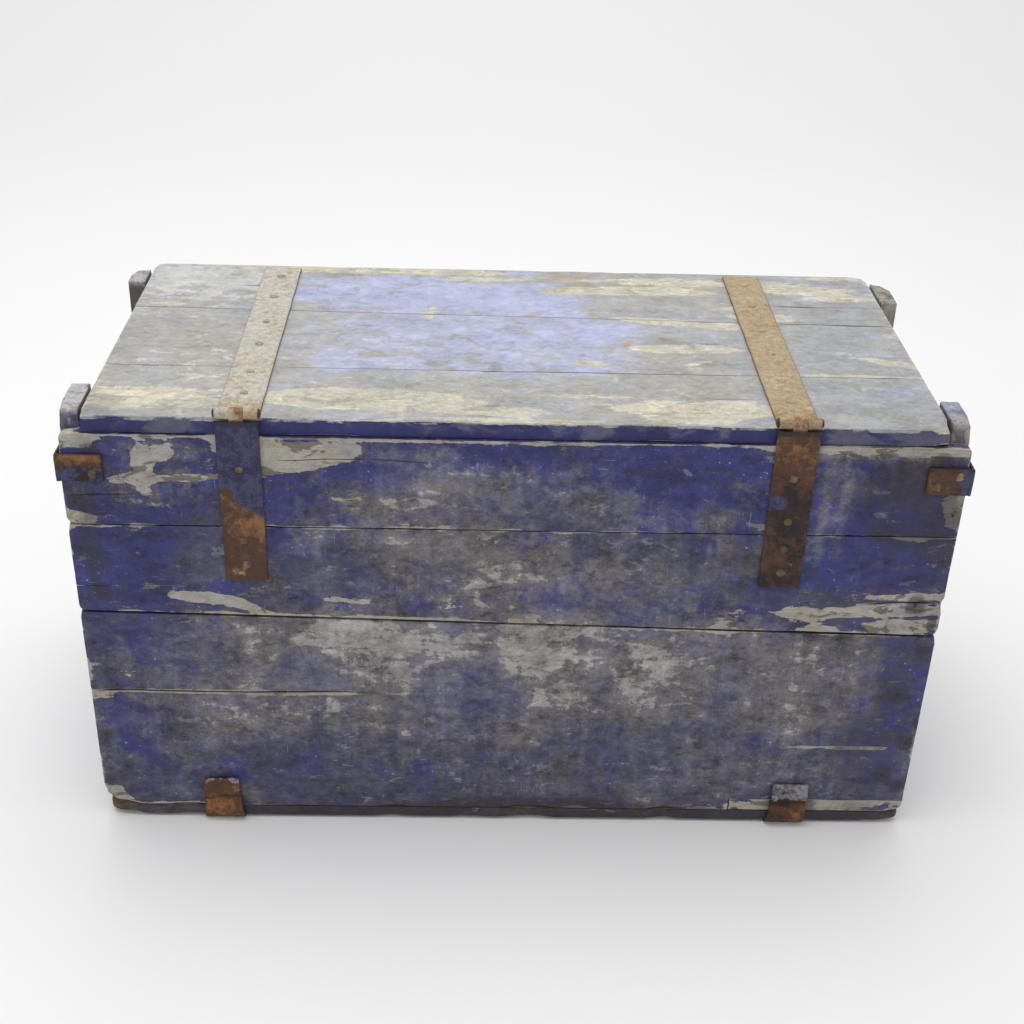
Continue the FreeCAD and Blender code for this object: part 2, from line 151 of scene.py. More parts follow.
def mesh_object(name, points, faces, fields):
    """A smooth-shaded object, with fields of numbers or vectors on its points."""
    mesh = bpy.data.meshes.new(name)
    mesh.from_pydata([tuple(p) for p in points], [], [tuple(f) for f in faces])
    mesh.polygons.foreach_set("use_smooth", [True] * len(mesh.polygons))
    for key, values in fields.items():
        values = np.asarray(values, np.float32)
        kind, slot_shadow = ("FLOAT", "value") if values.ndim == 1 else ("FLOAT_VECTOR", "vector")
        mesh.attributes.new(key, kind, "POINT").data.foreach_set(slot_shadow, values.ravel())
    mesh.update()
    ob = bpy.data.objects.new(name, mesh)
    bpy.context.scene.collection.objects.link(ob)
    return ob


def worn_piece(node, points, faces, fields, material):
    """An object that rides with and stands for a CAD node."""
    ob = mesh_object("worn_" + node, points, faces, fields)
    ob.data.materials.append(material)
    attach(ob, BODY_OF[node])
    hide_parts(node)
    return ob


def seed_of(name):
    """A whole number that is always the same for a name."""
    return sum((i + 3) * ord(c) for i, c in enumerate(name)) % 997


def nail_boxes(node):
    """Lowest and highest corner of each solid of a CAD nail group."""
    mesh = nodes[node].data
    merged = {}
    for v in mesh.vertices:
        merged.setdefault(tuple(round(c * 1e6) for c in v.co), []).append(v.index)
    pairs = [tuple(e.vertices) for e in mesh.edges]
    pairs += [pair for same in merged.values() for pair in zip(same, same[1:])]
    links = {v.index: set() for v in mesh.vertices}
    for a, b in pairs:
        links[a].add(b)
        links[b].add(a)
    left, solids = set(links), []
    while left:
        todo, found = [left.pop()], []
        while todo:
            here = todo.pop()
            found.append(here)
            fresh = links[here] & left
            left -= fresh
            todo += fresh
        co = np.array([mesh.vertices[i].co for i in found])
        solids.append((co.min(0), co.max(0)))
    return sorted(solids, key=lambda s: tuple(np.round(s[0], 5)))


# ---- worn boards ----


SHAKE_LINES = (-1.5, -0.8, -0.35, 0, 0.35, 0.8, 1.5)  # grid lines over a split's width
FINE_GRAIN, BOLD_GRAIN = np.array([9, 150, 150]), np.array([14, 45, 45])  # cells per metre


def board_ends(node, axes):
    """Lowest and highest corner of a board, and its width range at its two ends."""
    along, across, _ = (AXIS[a] for a in axes)
    points = np.array([v.co for v in nodes[node].data.vertices])
    low, high = points.min(0), points.max(0)
    ends = []
    for edge in (low[along], high[along]):
        at_end = points[np.abs(points[:, along] - edge) < 0.2 * MM][:, across]
        ends.append((at_end.min(), at_end.max()))
    return low, high, ends


def worn_radius(world, seed, wear, spots):
    """How far the arrises are worn round at each point."""
    wave = rough_noise(world * 45, seed)
    radius = wear * MM * (0.75 + 0.55 * wave)
    chips = smooth(noise(world * 28 + 7, seed + 5), 0.35, 0.75)
    radius += chips * wear * 1.6 * MM * (0.6 + 0.6 * noise(world * 220, seed + 9))
    for x, y, z, reach, size in spots:
        away = np.linalg.norm((world - np.array([x, y, z]) * MM), axis=1) / (reach * MM)
        local = size * MM * (1 - smooth(away, 0.25, 1.0))
        radius = np.maximum(radius, local * (1 + 0.25 * wave))
    return np.maximum(radius, 0.25 * MM)


def board(node, axes, material, wear=0.9, spots=(), shakes=(), notch=None, out=1,
          step=(4.5, 3.0, 4.5), end_wear=0.6, paint=None):
    """A worn plank in place of a CAD board.

    axes names the board's length, width and thickness, such as "xzy", and out says which
    way along its thickness its outer face looks. wear is the usual radius of its arrises
    in mm, and end_wear how ragged its end grain is. spots are places (x, y, z, reach,
    radius in mm) where its arrises are worn far back. shakes are splits (start, end, place
    across, width, depth in mm) in the outer face. notch is the corner, along and across,
    up to which the board is cut away. step is the grid's spacing in mm, and paint gives
    the fields of its paint.
    """
    seed = seed_of(node)
    a, b, c = (AXIS[k] for k in axes)
    low, high, (first, last) = board_ends(node, axes)
    if notch:
        first, last = (low[b], first[1]), (low[b], last[1])
    crowd = []
    for _, _, place, width, _ in shakes:
        crowd += [(place + k * width) * MM for k in SHAKE_LINES]
    us = lines(low[a], high[a], step[0] * MM, extra=[notch[0]] if notch else ())
    widest = (min(first[0], last[0]), max(first[1], last[1]))
    vs = lines(*widest, step[1] * MM, extra=crowd + ([notch[1]] if notch else []))
    ts = lines(low[c], high[c], step[2] * MM, edge=(0.6, 1.5, 3.2))
    solid = None
    if notch:
        mid_u, mid_v = (us[1:] + us[:-1]) / 2, (vs[1:] + vs[:-1]) / 2
        gone = (mid_u[:, None] > notch[0]) & (mid_v[None] < notch[1])
        solid = np.repeat(~gone[:, :, None], len(ts) - 1, 2)
    grid, faces = shell(us, vs, ts, solid)

    share = (grid[:, 0] - us[0]) / (us[-1] - us[0])
    v_low = first[0] + (last[0] - first[0]) * share
    v_high = first[1] + (last[1] - first[1]) * share
    across = (grid[:, 1] - widest[0]) / (widest[1] - widest[0])
    placed = grid.copy()
    placed[:, 1] = v_low + (v_high - v_low) * across
    world = np.empty_like(placed)
    world[:, (a, b, c)] = placed

    def for_all(u, v, t):
        return np.stack([np.full(len(grid), u), v, np.full(len(grid), t)], 1)

    half = for_all((us[-1] - us[0]) / 2, (v_high - v_low) / 2, (ts[-1] - ts[0]) / 2)
    centre = for_all((us[-1] + us[0]) / 2, (v_high + v_low) / 2, (ts[-1] + ts[0]) / 2)
    local = placed - centre
    radius = worn_radius(world, seed, wear, spots)
    reach = np.minimum(radius[:, None], half)
    core = np.clip(local, reach - half, half - reach)
    away = (local - core) / reach
    biggest = np.abs(away).max(1, keepdims=True)
    normal = away / np.maximum(np.linalg.norm(away, axis=1, keepdims=True), 1e-9)
    shaped = core + reach * normal * biggest
    to_sides = np.sort(half - np.abs(local), axis=1)
    edge = np.exp(-to_sides[:, 1] / (1.2 * MM + 1.1 * radius))

    fine = rough_noise(placed * FINE_GRAIN + seed, seed + 11)
    bold = rough_noise(placed * BOLD_GRAIN + seed, seed + 12)
    sink = MM * (0.16 * (fine + 1) + 0.22 * (bold + 1))
    end_grain = smooth(np.abs(normal[:, 0]), 0.5, 0.9)
    ragged = 0.5 * (1 + noise(placed * 420, seed + 14)) + 0.9 * (1 + noise(world * 110, seed + 15))
    sink += end_grain * 0.5 * MM * ragged * end_wear

    crack = np.zeros(len(grid))
    outer = normal[:, 2] * out
    faced = smooth(outer, 0.3, 0.8)
    for start, end, place, width, depth in shakes:
        sway = noise(np.stack([placed[:, 0] * 26, placed[:, 0] * 0, placed[:, 0] * 0 + place], 1))
        taper = smooth(placed[:, 0], (start - 8) * MM, (start + 25) * MM)
        taper *= 1 - smooth(placed[:, 0], (end - 25) * MM, (end + 8) * MM)
        offset = (placed[:, 1] - place * MM) / (width * MM)
        groove = np.exp(-(offset * 1.7) ** 2) * taper
        sink += groove * faced * depth * MM
        crack = np.maximum(crack, groove * faced)
        near = np.exp(-(offset / 9) ** 2) * (1 - edge)
        shaped[:, 1] += 1.5 * MM * sway * near
    shaped -= normal * sink[:, None]

    final = np.empty_like(shaped)
    final[:, (a, b, c)] = shaped + centre
    grain = placed - centre + np.array([seed * 0.37, seed * 0.11, seed * 0.07])
    fields = {"grain": grain, "edge": edge, "crack": crack, "endgrain": end_grain}
    fields.update((paint or plain_paint)(final, outer, edge, crack, seed))
    worn_piece(node, final, faces, fields, material)


# ---- where the paint is worn ----

WIDE, HAZE, FADE, STAIN = 41, 42, 43, 44  # what is added to a board's seed for each field

def strokes(u, v, marks):
    """Sum of soft patches: u, v, half length, half height, in mm, strength, and slope if any."""
    total = np.zeros(len(u))
    for mu, mv, half_u, half_v, strength, *slope in marks:
        du = (u / MM - mu) / half_u
        dv = (v / MM - mv - sum(slope) * (u / MM - mu)) / half_v
        total += strength * np.exp(-((du * du + dv * dv) ** 1.6))
    return total


SUNK_NAILS = nail_boxes("side_board_nails") + nail_boxes("end_board_nails")


def nail_rust(points, reach=5.5 * MM):
    """Dark spots round the sunk nails of the side and end boards."""
    total = np.zeros(len(points))
    for low, high in SUNK_NAILS:
        away = np.maximum(np.maximum(low - points, points - high), 0)
        total += np.exp(-(np.linalg.norm(away, axis=1) / reach) ** 2)
    return total


def raw_inside(bare, outer):
    """Keeps the outer faces' wear under 1 and makes the inner face raw wood, over 1."""
    return np.minimum(bare, 0.9) + 2.5 * smooth(-outer, 0.2, 0.7)


def plain_paint(points, outer, edge, crack, seed):
    """Random wear, for the faces that have no pattern of their own."""
    wide = rough_noise(points * 9, seed + WIDE)
    bare = -0.32 + 0.3 * wide + 1.3 * edge + 1.2 * crack
    haze = 0.3 + 0.35 * rough_noise(points * 7 + 3, seed + HAZE)
    fade = 0.45 + 0.5 * rough_noise(points * 6 + 5, seed + FADE)
    return {"bare": raw_inside(bare, outer), "haze": haze, "fade": fade,
            "stain": 0.3 * noise(points * 12, seed + STAIN) - 0.05 + 0.8 * nail_rust(points)}


# Strokes on the hinge side by x and z, and further down on the lid by x and y.
HINGE_BARE = (
    (-312, 376, 9, 26, 1.1), (-322, 369, 22, 6, 1), (-298, 392, 14, 8, 1, 0.3),
    (-282, 370, 60, 3.5, 1.2, 0.05), (-212, 387, 34, 15, 1.4, 0.1), (-172, 391, 34, 11, 1.3, 0.2),
    (-152, 394, 18, 6, 1.1, 0.2), (-235, 398, 18, 10, 1), (-370, 331, 15, 6, 1.1, -0.2),
    (-270, 251, 32, 6, 1.3, -0.1), (-235, 243, 24, 5, 1.1, -0.3), (290, 405, 95, 4, 0.8),
    (374, 352, 12, 20, 1.4), (262, 318, 26, 5, 0.6, 0.15), (320, 246, 70, 6, 1.4, 0.05),
    (345, 230, 45, 7, 1.6, 0.02), (262, 234, 28, 14, 0.9, -0.4), (350, 262, 40, 4, 1, 0.02),
    (-240, 148, 140, 3, 1.2), (-375, 143, 22, 5, 0.9), (310, 92, 70, 2.6, 0.9, -0.02),
    (-375, 20, 20, 14, 1.2, 0.3), (-330, 12, 50, 5, 0.8), (66, 12, 12, 6, 1.3),
    (292, 21, 88, 8, 1.2), (-150, 250, 34, 5, 0.9, -0.05), (0, 186, 12, 14, 0.9, -0.2),
    (-72, 190, 10, 9, 0.9), (-150, 216, 26, 11, 0.6), (-60, 246, 30, 4, 0.5),
    (-368, 405, 24, 8, 0.8), (190, 232, 16, 12, 0.8, 0.3), (-166, 392, 40, 9, 0.5, 0.05),
    (-120, 232, 200, 1.6, 0.5, -0.02), (-178, 403, 46, 4, 0.8), (-60, 408.5, 170, 1.8, 0.9),
)
HINGE_HAZE = (
    (-150, 216, 36, 18, 0.75), (-90, 190, 60, 40, 0.5), (0, 205, 120, 30, 0.35),
    (60, 170, 60, 50, 0.45), (190, 205, 100, 45, 0.35), (220, 110, 110, 70, 0.25),
    (200, 160, 90, 60, 0.16), (-80, 130, 120, 46, 0.4), (-210, 190, 110, 50, 0.42),
    (-240, 130, 100, 36, 0.4), (110, 130, 26, 36, 0.35, 0.3), (15, 190, 40, 26, 0.35),
    (35, 228, 40, 14, 0.3), (-30, 255, 190, 60, 0.3), (265, 360, 26, 70, 0.3),
    (100, 60, 160, 36, 0.15), (-320, 60, 60, 50, 0.15), (-100, 330, 120, 30, 0.15),
    (310, 60, 60, 50, 0.2), (60, 300, 170, 60, 0.22), (0, 360, 150, 30, 0.18),
    (290, 150, 40, 80, 0.25), (300, 404, 90, 7, 0.65), (-60, 360, 80, 22, 0.42, 0.2),
    (80, 350, 60, 24, 0.15, -0.4), (262, 345, 5, 46, 0.4), (278, 340, 5, 52, 0.35),
    (258, 150, 6, 80, 0.16), (272, 170, 6, 90, 0.16), (-235, 180, 6, 50, 0.2),
    (-95, 150, 6, 60, 0.2), (-80, 382, 60, 22, 0.28), (0, 106, 36, 18, 0.35),
    (120, 170, 30, 30, 0.3), (-300, 365, 50, 20, 0.25), (-30, 270, 6, 60, 0.2),
    (-300, 395, 50, 10, 0.3), (-160, 320, 60, 26, 0.25), (-100, 398, 50, 12, 0.32),
    (-100, 318, 44, 14, 0.28), (42, 148, 24, 16, 0.35), (5, 361, 60, 16, 0.22),
)
HINGE_DEEP = (
    (0, 388, 330, 24, 1.1), (-345, 290, 60, 70, 0.7), (300, 285, 90, 22, 1.2),
    (-290, 255, 110, 18, 0.4), (140, 240, 70, 14, 0.8), (-60, 248, 110, 10, 0.5),
    (-350, 110, 50, 40, 0.6), (340, 200, 50, 40, 0.3), (150, 350, 120, 40, 0.4),
    (-310, 370, 80, 50, 0.8), (345, 110, 40, 60, 0.4), (10, 165, 40, 18, 0.3),
    (-240, 70, 110, 24, 0.45), (330, 355, 70, 45, 1), (-160, 350, 70, 46, 0.8),
    (20, 262, 150, 20, 0.6), (-280, 190, 90, 24, 0.35), (240, 340, 100, 30, 0.6),
    (322, 318, 34, 20, 0.7),
)
# Dark strokes on the hinge side: stains, and the first three, beside the hinge leaves, painted
# shade with rust stain.
HINGE_STAIN_AND_SHADE = (
    (-204, 345, 5, 75, 0.5, -0.4), (195, 330, 12, 70, 0.4, 0.5), (262, 345, 8, 70, 0.35, 0.3),
    (40, 8, 60, 8, 0.9), (180, 10, 30, 8, 0.8), (-40, 14, 60, 7, 0.7), (-330, 6, 60, 8, 0.6),
    (373, 234, 4, 9, 1.2), (376, 310, 4, 5, 1), (60, 60, 60, 22, 0.35), (130, 165, 40, 24, 0.4),
    (-255, 25, 8, 30, 0.4), (290, 28, 8, 20, 0.5), (0, 235, 360, 5, 0.3, -0.02),
    (335, 360, 60, 50, 0.85), (-362, 300, 14, 50, 0.9), (360, 310, 18, 60, 0.7),
    (320, 240, 60, 16, 0.35), (345, 110, 45, 80, 0.55), (20, 15, 85, 17, 0.9),
    (320, 60, 40, 50, 0.35), (300, 106, 40, 30, 0.2), (355, 200, 30, 40, 0.4),
    (120, 300, 120, 60, 0.25), (-40, 395, 70, 8, 0.1), (322, 318, 28, 18, 0.35),
)


def hinge_paint(points, outer, edge, crack, seed):
    """The worn ultramarine paint of the hinge side: a blue top, a greyer foot."""
    x, z = points[:, 0], points[:, 2]
    wide = rough_noise(points * 11, seed + WIDE)
    face = smooth(outer, 0.1, 0.6)
    bare = -0.55 + 0.2 * wide + strokes(x, z, HINGE_BARE) * face
    bare += (0.75 + 0.6 * wide) * edge + 1.1 * crack
    haze = 0.02 + 0.12 * rough_noise(points * 8 + 3, seed + HAZE)
    haze += strokes(x, z, HINGE_HAZE) + 0.12 * smooth(-z, -0.235, -0.22)
    deep = strokes(x, z, HINGE_DEEP) + 0.2 * rough_noise(points * 9 + 5, seed + FADE)
    # Darker towards the bottom.
    foot = smooth(-z, -0.04, -0.006)
    stain = 0.45 * foot + 0.9 * strokes(x, z, HINGE_STAIN_AND_SHADE)
    return {"bare": raw_inside(bare, outer), "haze": haze,
            "fade": np.clip(0.70 - 0.6 * deep, 0, 1.2),
            "stain": stain - 0.1 + 0.8 * nail_rust(points)}


LID_BARE = (
    (-305, -134, 70, 22, 1.1), (-125, -132, 85, 20, 1.7, -0.03), (-10, -150, 60, 8, 0.8),
    (150, -142, 66, 20, 1.4), (60, -118, 60, 5, 0.7, -0.05), (20, -164, 240, 4, 0.4),
    (-120, 165, 130, 9, 1.3), (-240, 166, 70, 5, 0.8), (240, 62, 34, 9, 0.9, -0.1),
    (-30, 148, 60, 7, 0.8), (110, 124, 95, 12, 1.1, 0.05), (190, 150, 120, 9, 1.2),
    (170, 42, 70, 9, 1.2, -0.15), (150, -15, 48, 9, 1.8), (65, -51, 16, 5, 1.7),
    (165, -45, 12, 4, 1.4, 0.3), (-80, 62, 10, 30, 0.6, 0.6), (290, 132, 60, 12, 0.9),
    (320, 112, 40, 8, 0.8), (300, -68, 60, 4, 0.9), (330, -35, 40, 8, 0.6, -0.4),
    (-325, 70, 16, 6, 0.8), (320, 168, 50, 5, 0.9), (-330, -60, 10, 8, 0.6),
    (-285, -60, 40, 5, 0.4), (230, 84, 30, 9, 0.5),
)
LID_BLUE = (
    (-130, 112, 90, 46, 1.3), (5, 104, 68, 38, 1.1), (-30, 30, 160, 56, 0.6),
    (-150, -20, 60, 70, 0.5), (310, -100, 60, 30, 0.5), (-320, 20, 30, 70, 0.3),
    (0, 168, 34, 7, 0.8), (60, 5, 60, 56, 0.5), (-330, -70, 30, 20, 0.3), (0, -60, 160, 30, 0.5),
    (-30, -24, 50, 40, 0.7),
)
LID_BROWN = (
    (50, 140, 34, 22, 0.7), (15, 56, 11, 6, 1), (50, 26, 9, 7, 1), (10, 12, 9, 4, 1),
    (103, -6, 9, 9, 1.1, 0.5), (72, 62, 11, 6, 0.9), (-3, -28, 6, 10, 0.8), (60, 160, 50, 6, 0.7),
    (250, 150, 60, 14, 0.5),
)
LID_GRIME = (
    (325, 5, 50, 45, 0.7), (-350, -135, 30, 40, 0.6), (50, -105, 60, 50, 0.4),
    (20, 10, 60, 30, 0.3),
)


def lid_paint(points, outer, edge, crack, seed):
    """Bleached top, cream where the hinge side is bare, with a deep blue front edge."""
    x, y = points[:, 0], points[:, 1]
    wide = rough_noise(points * 10, seed + WIDE)
    top = smooth(outer, 0.1, 0.6)
    rim = np.maximum(smooth(-y, 0.150, 0.166), smooth(np.abs(x), 0.345, 0.358))
    bare = -0.42 + 0.2 * wide + strokes(x, y, LID_BARE) * top
    bare += (0.1 + 0.8 * rim) * edge + 0.5 * crack
    blue = strokes(x, y, LID_BLUE) + 0.16 * rough_noise(points * 8 + 5, seed + FADE)
    lip = smooth(-y, 0.1675, 0.1695)
    spill = smooth(points[:, 2] + 1.5 * MM * noise(points * 70, 19), 0.4185, 0.4225) * lip
    haze = 0.6 + 0.3 * rough_noise(points * 8 + 3, seed + HAZE)
    haze += 0.7 * smooth(y, 0.04, 0.15) * smooth(-x, 0.22, 0.26)
    haze = (haze - 0.5 * blue - 0.35 * smooth(x, 0.12, 0.30)) * (1 - lip)
    worn = smooth(-y, 0.100, 0.150) * (0.5 + 0.5 * noise(points * np.array([24, 60, 60]), 17))
    worn += strokes(x, y, LID_GRIME)
    return {"bare": raw_inside(bare, outer) - 0.7 * lip + 0.65 * spill, "haze": haze,
            "stain": strokes(x, y, LID_BROWN) - 0.35,
            "fade": np.clip(0.95 - 1.0 * blue, -0.3, 1.3), "lip": lip - 0.55 * spill,
            "edge": edge + 1.1 * worn * (1 - lip)}


def batten_paint(points, outer, edge, crack, seed):
    """Thin blue-grey paint with bleached tops, bare on the two battens of the latch side; the
    latch side's left batten is darkened below its top as painted shade.
    """
    wide = rough_noise(points * 13, seed + WIDE)
    far = smooth(points[:, 1], 0.0, 0.05)
    right = smooth(points[:, 0], 0.0, 0.1)
    top = smooth(points[:, 2], 0.4175, 0.4235)
    bare = -0.35 + 0.25 * wide + 0.5 * edge + 1.2 * crack + 0.4 * far
    bare = bare * (1 - top) - 0.3 * top + 1.1 * right * far
    haze = 0.20 + 0.2 * rough_noise(points * 9 + 3, seed + HAZE)
    haze += top * (0.75 - 0.25 * right * (1 - far))
    # The far term darkens the latch side's left batten below its top: painted shade.
    stain = 0.1 + far * (0.75 - 0.95 * right) - top * (1.2 - 0.8 * right * (1 - far))
    return {"bare": np.minimum(bare, 0.9), "haze": haze, "stain": stain,
            "fade": 0.55 + 0.5 * right * top + 0.4 * rough_noise(points * 7, seed + FADE)}


def floor_paint(points, outer, edge, crack, seed):
    """Bottom boards: paint on their outer edges only, worn, dirty and darkened as painted shade
    along the floor.
    """
    rim = smooth(np.abs(points[:, 1]), 0.171, 0.1735)
    rim = np.maximum(rim, smooth(np.abs(points[:, 0]), 0.3775, 0.3795))
    wide = rough_noise(points * 16, seed + WIDE)
    return {"bare": 2.5 * (1 - rim) - 0.15 + 0.35 * wide, "haze": 0.12 + 0.3 * wide,
            "fade": 0.8 + 0 * rim, "stain": 0.55 + 0.3 * noise(points * 12, seed + STAIN)}


def raw_wood(points, outer, edge, crack, seed):
    """Never painted: the cleats."""
    flat = np.ones(len(points))
    return {"bare": 2.5 * flat, "haze": 0 * flat, "fade": 0.5 * flat,
            "stain": 0.3 + 0.3 * noise(points * 10, seed + STAIN)}


# ---- materials ----


def linear(r, g, b):
    """A colour given as display values from 0 to 255."""
    parts = [c / 255 for c in (r, g, b)]
    return tuple(c / 12.92 if c < 0.04045 else ((c + 0.055) / 1.055) ** 2.4 for c in parts)


def palette(*colours):
    """Several colours, each with its three display values."""
    return tuple(linear(*colour) for colour in colours)


class Nodes:
    """A short way to write a node material."""

    def __init__(self, name):
        self.material = bpy.data.materials.new(name)
        self.material.use_nodes = True
        self.tree = self.material.node_tree
        self.surface = self.tree.nodes["Principled BSDF"]
        self.place = self.new("TexCoord", {}).outputs["Object"]

    def new(self, kind, inputs, **settings):
        """A node with its settings, and with numbers, colours or links for its inputs."""
        node = self.tree.nodes.new("ShaderNode" + kind)
        for key, value in settings.items():
            setattr(node, key, value)
        for key, value in inputs.items():
            self.put(node.inputs[key], value)
        return node

    def put(self, socket, value):
        if isinstance(value, bpy.types.NodeSocket):
            self.tree.links.new(value, socket)
        elif isinstance(value, tuple) and socket.type == "RGBA":
            socket.default_value = (*value, 1.0)
        else:
            socket.default_value = value

    def field(self, name, kind="Fac"):
        return self.new("Attribute", {}, attribute_name=name).outputs[kind]

    def stretched(self, vector, scale):
        return self.new("VectorMath", {0: vector, 1: scale}, operation="MULTIPLY").outputs[0]

    def cloud(self, vector, scale=1.0, detail=4.0, rough=0.55, warp=0.0):
        inputs = {"Vector": vector, "Scale": scale, "Detail": detail, "Roughness": rough,
                  "Distortion": warp}
        return self.new("TexNoise", inputs).outputs["Fac"]

    def cells(self, vector, scale):
        return self.new("TexVoronoi", {"Vector": vector, "Scale": scale}).outputs["Distance"]

    def sum(self, total, *terms):
        """total plus each (value, gain), or plus a plain number."""
        for term in terms:
            value, gain = term if isinstance(term, tuple) else (term, 1.0)
            inputs = {0: value, 1: gain, 2: total}
            total = self.new("Math", inputs, operation="MULTIPLY_ADD").outputs[0]
        return total

    def times(self, first, second):
        return self.new("Math", {0: first, 1: second}, operation="MULTIPLY").outputs[0]

    def step(self, value, low, high, start=0.0, end=1.0):
        inputs = {"Value": value, "From Min": low, "From Max": high, "To Min": start,
                  "To Max": end}
        return self.new("MapRange", inputs, interpolation_type="SMOOTHSTEP").outputs["Result"]

    def mix(self, share, first, second):
        return self.new("Mix", {0: share, 6: first, 7: second}, data_type="RGBA").outputs[2]

    def dim(self, colour, factor):
        return self.new("VectorMath", {0: colour, "Scale": factor}, operation="SCALE").outputs[0]

    def bump(self, height, distance, strength=1.0, under=None):
        inputs = {"Height": height, "Distance": distance, "Strength": strength}
        if under is not None:
            inputs["Normal"] = under
        return self.new("Bump", inputs).outputs["Normal"]

    def finish(self, colour, roughness, normal):
        self.put(self.surface.inputs["Base Color"], colour)
        self.put(self.surface.inputs["Roughness"], roughness)
        self.put(self.surface.inputs["Normal"], normal)
        return self.material


def weathered_wood(name, paints, washes, woods, mottle=2.4, spread=1.0, ragged=1.0,
                   drips=0.0, speck=0.5, soft=0.275, lip=False):
    """Old paint over weathered wood.

    paints are the paint where it is deep, faded and dirty; washes the grey bloom on it,
    its browner parts and chalk; woods the bare wood, its dark fibres and old primer.
    mottle is the contrast of light and dark, spread the share of hue that is left to
    chance, ragged that of the bare places, drips the strength of upright runs, speck that
    of pale spots, and soft the width of the step from deep to faded. lip adds deep blue by
    the field "lip". Where the field "bare" is over 1 the wood is raw.
    """
    deep, faded, dirty = paints
    bloom, brown, chalk = washes
    wood, fibres, primer = woods
    m = Nodes(name)
    grain = m.field("grain", "Vector")
    fibre = m.cloud(m.stretched(grain, (6, 520, 520)), detail=4, rough=0.6)
    flake = m.cloud(m.stretched(grain, (36, 84, 84)), detail=6, rough=0.62, warp=0.5)
    streak = m.cloud(m.stretched(grain, (8, 62, 62)), detail=5, rough=0.55, warp=0.4)
    patch = m.cloud(m.place, 17.0, detail=4, rough=0.5, warp=0.5)
    other = m.cloud(m.stretched(m.place, (1, 1.3, 1.3)), 11.0, detail=5, rough=0.55, warp=0.6)
    veil = m.cloud(m.stretched(m.place, (1, 1.2, 1.2)), 40.0, detail=5, rough=0.6, warp=0.9)
    tone = m.cloud(m.stretched(grain, (20, 30, 30)), detail=7, rough=0.88)
    dust = m.cloud(m.place, 170.0, detail=4, rough=0.75)
    grit = m.cloud(m.place, 620.0, detail=3, rough=0.6)

    bare_field = m.sum(m.field("bare"), (flake, 1.2 * ragged), (streak, 1.4 * ragged),
                       (veil, 0.7 * ragged), (dust, 0.3), -0.15 - 1.65 * ragged)
    bare = m.step(bare_field, 0.0, 0.08)
    rim = m.times(m.step(bare_field, -0.20, -0.02), m.step(bare_field, 0.05, 0.0))

    fade = m.sum(m.field("fade"), (patch, 1.3 * spread), (veil, 0.9 * spread),
                 (flake, 0.6 * spread), -1.4 * spread)
    paint = m.mix(m.step(fade, 0.475 - soft, 0.475 + soft), deep, faded)
    paint = m.mix(m.times(rim, 0.5), paint, deep)
    soot = m.sum(veil, (other, 0.9), (flake, 0.4), -0.65)
    paint = m.mix(m.step(soot, 0.56, 0.66, 0.0, 0.55), paint, dirty)
    haze = m.sum(m.field("haze"), (veil, 1.1), (other, 0.9), (dust, 0.5), -1.25)
    if drips:
        run = m.cloud(m.stretched(m.place, (52, 40, 3)), detail=5, rough=0.65)
        haze = m.sum(haze, (run, drips), -drips * 0.5)
    wash = m.mix(m.step(m.sum(other, (haze, 0.22)), 0.48, 0.68), bloom, brown)
    paint = m.mix(m.step(haze, 0.0, 0.85, 0.0, 0.85), paint, wash)
    pale = m.step(m.sum(haze, (flake, 1.7), (streak, 0.6), -1.15), 0.80, 0.98, 0.0, 0.7)
    paint = m.mix(pale, paint, chalk)
    chips = m.step(m.sum(flake, (dust, 0.3), -0.15), 0.62, 0.645, 0.0, 0.45)
    paint = m.mix(m.times(chips, m.step(patch, 0.40, 0.52)), paint, m.mix(0.5, wash, chalk))
    dents = m.step(m.sum(flake, (dust, 0.3), -0.15), 0.385, 0.36, 0.0, 0.45)
    paint = m.mix(m.times(dents, m.step(other, 0.42, 0.52)), paint, dirty)
    upright = m.cloud(m.stretched(m.place, (800, 800, 40)), detail=1)
    level = m.cloud(m.stretched(m.place, (34, 34, 700)), detail=2)
    cuts = m.sum(m.times(m.step(upright, 0.70, 0.75), m.step(patch, 0.5, 0.6)),
                 (m.times(m.step(level, 0.68, 0.74), m.step(veil, 0.5, 0.6)), 1.0))
    paint = m.mix(m.times(cuts, 0.45), paint, chalk)
    spots = m.times(m.step(m.cells(m.place, 190.0), 0.22, 0.10), m.step(tone, 0.52, 0.6))
    paint = m.mix(m.times(spots, speck), paint, chalk)
    paint = m.dim(paint, m.sum(1.0, (tone, mottle), (dust, 0.3 * mottle), -0.65 * mottle))

    timber = m.mix(m.step(fibre, 0.3, 0.7), fibres, wood)
    timber = m.mix(m.step(m.sum(veil, (flake, 0.8), -0.4), 0.47, 0.55, 0.0, 0.8), timber, primer)
    rust = m.times(m.step(veil, 0.58, 0.68), m.step(patch, 0.5, 0.6))
    timber = m.mix(m.times(rust, 0.5), timber, linear(176, 150, 100))
    scabs = m.times(m.step(flake, 0.455, 0.425), m.step(other, 0.40, 0.48))
    timber = m.mix(m.times(scabs, 0.6), timber, dirty)
    plain = m.mix(m.step(fibre, 0.3, 0.7), linear(112, 92, 70), linear(160, 138, 108))
    plain = m.mix(m.step(streak, 0.42, 0.62, 0.0, 0.55), plain, linear(124, 108, 88))
    plain = m.mix(m.step(m.sum(veil, (other, 0.8), -0.4), 0.48, 0.62, 0.0, 0.4), plain,
                  linear(86, 74, 62))
    timber = m.mix(m.step(m.field("bare"), 1.0, 1.5), timber, plain)
    rings = m.cells(m.stretched(grain, (160, 160, 480)), 1.0)
    timber = m.mix(m.times(m.field("endgrain"), m.step(rings, 0.2, 0.6, 0.6, 0.1)), timber, fibres)
    timber = m.dim(timber, m.sum(1.0, (tone, 1.6), (dust, 0.8), -1.2))

